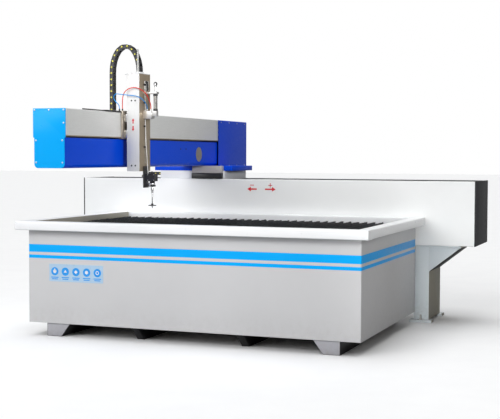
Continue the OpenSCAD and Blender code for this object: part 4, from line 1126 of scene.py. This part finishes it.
def pin_caps():
    """A bright cap on each end of a pin."""
    root, end = LINK_W / 2 - mm(3), LINK_W / 2 + mm(0.4)
    return join([rod("cap", (0, side * root, 0), (0, side * end, 0), mm(8), 12, mm(6.5)) for side in (-1, 1)], "pins")


def lengths_along(line):
    """The distance from the line's start to each of its points."""
    lengths = [0.0]
    for a, b in zip(line, line[1:]):
        lengths.append(lengths[-1] + (b - a).length)
    return lengths


def place_along(line, pitch):
    """Matrices at equal steps along a line in the XZ plane, each with its Z along the line."""
    lengths = lengths_along(line)
    count = max(int(round(lengths[-1] / pitch)), 1)

    def at(distance):
        i = max(k for k in range(len(line) - 1) if lengths[k] <= distance + 1e-9)
        return line[i].lerp(line[i + 1], (distance - lengths[i]) / max(lengths[i + 1] - lengths[i], 1e-9))

    made = []
    for k in range(count):
        a, b = at(lengths[-1] * k / count), at(min(lengths[-1] * (k + 1) / count, lengths[-1]))
        z = (b - a).normalized()
        y = Vector((0, 1, 0))
        x = y.cross(z)
        made.append(Matrix(((x.x, y.x, z.x, a.x), (x.y, y.y, z.y, a.y), (x.z, y.z, z.z, a.z), (0, 0, 0, 1))))
    return made, lengths[-1]


def share_along(line, start, end):
    """For a point, how far along the line it lies, scaled from start to end."""
    lengths = lengths_along(line)

    def share(co):
        best = (1e9, 0.0)
        for k, (a, b) in enumerate(zip(line, line[1:])):
            t = min(max((Vector((co.x, a.y, co.z)) - a).dot(b - a) / (b - a).length_squared, 0), 1)
            d = (Vector((co.x, a.y, co.z)) - a.lerp(b, t)).length
            if d < best[0]:
                best = (d, lengths[k] + t * (b - a).length)
        return start + (end - start) * best[1] / lengths[-1]
    return share


def build_chain(name, node_name, line, bodies, share):
    links, total = place_along(line, LINK_PITCH)
    link, pin = chain_link(), pin_caps()
    chain = join([another(link, f"link_{k}", matrix=m) for k, m in enumerate(links)], name + "_links")
    pins = join([another(pin, f"pin_{k}", matrix=m) for k, m in enumerate(links)], name + "_pins")
    for piece, paint in ((chain, "chain_plastic"), (pins, "pin_yellow")):
        smooth(piece, 40)
        piece.data.materials.clear()
        piece.data.materials.append(FINISH[paint])
        set_blend(piece, *bodies, share)
    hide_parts(node_name)
    bpy.data.objects.remove(link)
    bpy.data.objects.remove(pin)
    print(name, len(links), "links,", round(total, 3), "m,", len(chain.data.polygons), "faces")


# %% The ram's chain, from the saddle's foot over an arch to the ram's top
left_x, right_x = ARM_X + mm(8.5), ARM_X + mm(242.5)
bend_z, rise = mm(2062), mm(199)
foot_z, clamp_z = mm(1766), mm(2058)
arch = [Vector(((left_x + right_x) / 2 + (right_x - left_x) / 2 * math.cos(a), SADDLE_Y, bend_z + rise * math.sin(a)))
        for a in (math.pi - math.pi * k / 24 for k in range(25))]
ram_line = [Vector((left_x, SADDLE_Y, foot_z + mm(6)))] + arch + [Vector((right_x, SADDLE_Y, clamp_z + mm(1)))]
build_chain("ram_chain", "ram_chain", ram_line, ("y_saddle", "ram"), share_along(ram_line, 0, 1))

# %% The beam's chain, from its anchor back round the bend to the carriage
low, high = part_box("beam_chain")
chain_y = (low.y + high.y) / 2
CARRIAGE_REACH = mm(225)
radius, bend_x, anchor_x = mm(60), mm(-1476), mm(250)
middle_z = low.z + LINK_H / 2 + radius
end_x = ARM_X - CARRIAGE_REACH
turn = [Vector((bend_x - radius * math.sin(a), chain_y, middle_z - radius * math.cos(a)))
        for a in (math.pi * k / 12 for k in range(13))]
beam_line = [Vector((anchor_x, chain_y, middle_z - radius))] + turn
beam_line.append(Vector((end_x - mm(4), chain_y, middle_z + radius)))


def beam_share(co):
    """Each point's share: from 0 to 0.5 along the lower run, 0.5 in the bend, and from 0.5 to 1 along the upper run.
    """
    if co.z < middle_z and co.x > bend_x:
        return 0.5 * (anchor_x - co.x) / (anchor_x - bend_x)
    if co.x <= bend_x:
        return 0.5
    return 0.5 + 0.5 * (co.x - bend_x) / (end_x - bend_x)


build_chain("beam_chain", "beam_chain", beam_line, ("base", "x_carriage"), beam_share)

# %% [markdown]
# ## Air cylinder
# A small cylinder pulls the head's valve. Its barrel is a bright tube between two dark end blocks held by tie
# rods, and its rod ends in a round clevis. The eye is a torus closed by a bush, so it reads as a rod end.

# %% Air cylinder and rod
low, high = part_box("air_cylinder")
axis_x, axis_y = (low.x + high.x) / 2, (low.y + high.y) / 2
barrel = rod("cylinder_barrel", (axis_x, axis_y, low.z + mm(14)), (axis_x, axis_y, high.z - mm(14)), mm(12), 32)
press(barrel, lambda middle, normal: abs(normal.z) > 0.9, mm(2), mm(0))
finished(smooth(barrel), "cylinder_steel", "ram", "air_cylinder")
ends = []
for a, b in ((low.z, low.z + mm(16)), (high.z - mm(16), high.z)):
    end = box("end_block", (axis_x - mm(14), axis_y - mm(14), a), (axis_x + mm(14), axis_y + mm(14), b))
    bevel_edges(end, lambda middle, way: abs(way.z) > 0.9, mm(3.5), 3)
    press(end, lambda middle, normal: normal.y < -0.9, mm(9), mm(-3))
    ends.append(soften(end, mm(0.6), 1))
finished(join(ends, "cylinder_ends"), "servo_black", "ram")
ties = [rod("tie", (axis_x + x, axis_y + y, low.z + mm(15)), (axis_x + x, axis_y + y, high.z - mm(15)), mm(1.5), 8)
        for x in (-mm(11), mm(11)) for y in (-mm(11), mm(11))]
finished(smooth(join(ties, "cylinder_ties")), "zinc_steel", "ram")

low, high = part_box("air_rod")
eye_z = high.z - mm(16)
shaft = rod("shaft", (axis_x, axis_y, low.z), (axis_x, axis_y, eye_z - mm(11)), mm(5.9), 24)
nut = rod("lock_nut", (axis_x, axis_y, eye_z - mm(21)), (axis_x, axis_y, eye_z - mm(16)), mm(10), 6)
bevel_edges(nut, lambda middle, way: abs(way.z) < 0.1, mm(1), 2)
neck = rod("neck", (axis_x, axis_y, eye_z - mm(16)), (axis_x, axis_y, eye_z - mm(11)), mm(8), 24, mm(6.5))
finished(smooth(join([shaft, nut, neck], "cylinder_rod")), "chrome_rod", "air_rod", "air_rod")
deselect()
bpy.ops.mesh.primitive_torus_add(major_radius=mm(11.5), minor_radius=mm(4.4), major_segments=32, minor_segments=12,
                                 location=(axis_x, axis_y, eye_z), rotation=(math.pi / 2, 0, 0))
eye = settle(bpy.context.object, "rod_eye")
finished(smooth(eye, 60), "servo_black", "air_rod")
ball = rod("rod_ball", (axis_x, axis_y - mm(7), eye_z), (axis_x, axis_y + mm(7), eye_z), mm(8), 24)
press(ball, lambda middle, normal: abs(normal.y) > 0.9, mm(3), mm(-1))
finished(soften(ball, mm(1)), "stainless_head", "air_rod")

# %% [markdown]
# ## Cutting head
# From the top down: an air-actuated valve in a black block, a clamped body, the mixing chamber with its side
# inlet, a collet nut, the focusing tube and the nozzle's tip. Each turned part is a cylinder with its edges
# broken, and the hexagons are six-sided cylinders with a bevel.

# %% Cutting head
low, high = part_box("cutting_head")
tip = low.z
head_x = high.x - mm(34)


def turned(name, bottom, top, radius, sides=32, edge=1.0, radius_2=None):
    piece = rod(name, (head_x, SADDLE_Y, tip + mm(bottom)), (head_x, SADDLE_Y, tip + mm(top)), mm(radius), sides,
                None if radius_2 is None else mm(radius_2))
    return soften(piece, mm(edge))


valve = box("valve_block", (low.x, SADDLE_Y - mm(30), tip + mm(211)), (high.x, SADDLE_Y + mm(30), tip + mm(269)))
bevel_edges(valve, lambda middle, way: abs(way.z) > 0.9, mm(4), 3)
press(valve, lambda middle, normal: normal.y < -0.9 or normal.x > 0.9, mm(6), mm(-1.5))
black = [soften(valve, mm(1)), turned("valve_cap", 269, 283, 13), turned("collar", 194, 211, 20)]
chamber = box("chamber", (head_x - mm(21), SADDLE_Y - mm(21), tip + mm(169)),
              (head_x + mm(21), SADDLE_Y + mm(21), tip + mm(181)))
black.append(soften(chamber, mm(2)))
finished(join(black, "valve_and_chamber"), "head_black", "ram", "cutting_head")
bright = [turned("clamp_ring", 181, 194, 21, 32, 1.5), turned("body", 120, 169, 9),
          turned("collet", 138, 156, 12, 6, 1.0), turned("focusing_tube", 38, 122, 5.2, 24, 0.5),
          turned("tip", 2, 38, 4.4, 24, 0.5), turned("tip_end", 0, 2.2, 2.2, 16, 0.2, 4.4),
          turned("adapter", 283, 289, 7, 6, 0.6)]
fitting = rod("inlet", (head_x - mm(9), SADDLE_Y - mm(4), tip + mm(176)),
              (head_x - mm(9), SADDLE_Y - mm(32), tip + mm(183)), mm(5), 16)
inlet_nut = rod("inlet_nut", (head_x + mm(6), SADDLE_Y - mm(28), tip + mm(188)),
                (head_x + mm(6), SADDLE_Y - mm(19), tip + mm(188)), mm(6.5), 6)
bright += [soften(fitting, mm(0.6)), soften(inlet_nut, mm(0.8))]
finished(join(bright, "head_bright_parts"), "stainless_head", "ram")
cap_screws = [((head_x + x, SADDLE_Y - mm(29.6), tip + mm(z)), (0, -1, 0))
              for x in (-mm(24), mm(26)) for z in (219, 261)]
finished(copies(small, "valve_screws", cap_screws), "zinc_steel", "ram")
bpy.data.objects.remove(small)

# %% [markdown]
# ## Splash guard
# A rubber disc on the focusing tube catches the spray. It's a thin dished disc: the middle of its lower face is
# pushed up, and a short sleeve grips the tube.

# %% Splash guard
low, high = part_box("splash_guard")
guard = rod("splash_disc", (head_x, SADDLE_Y, low.z), (head_x, SADDLE_Y, low.z + mm(6)), (high.x - low.x) / 2, 48)
press(guard, lambda middle, normal: normal.z < -0.9, mm(4), mm(-3))
press(guard, lambda middle, normal: normal.z > 0.9, mm(18), mm(2))
sleeve = rod("sleeve", (head_x, SADDLE_Y, low.z + mm(5)), (head_x, SADDLE_Y, high.z), mm(9.5), 32, mm(8))
finished(soften(join([guard, sleeve], "splash_guard_rubber"), mm(0.8)), "black_plastic", "ram", "splash_guard")
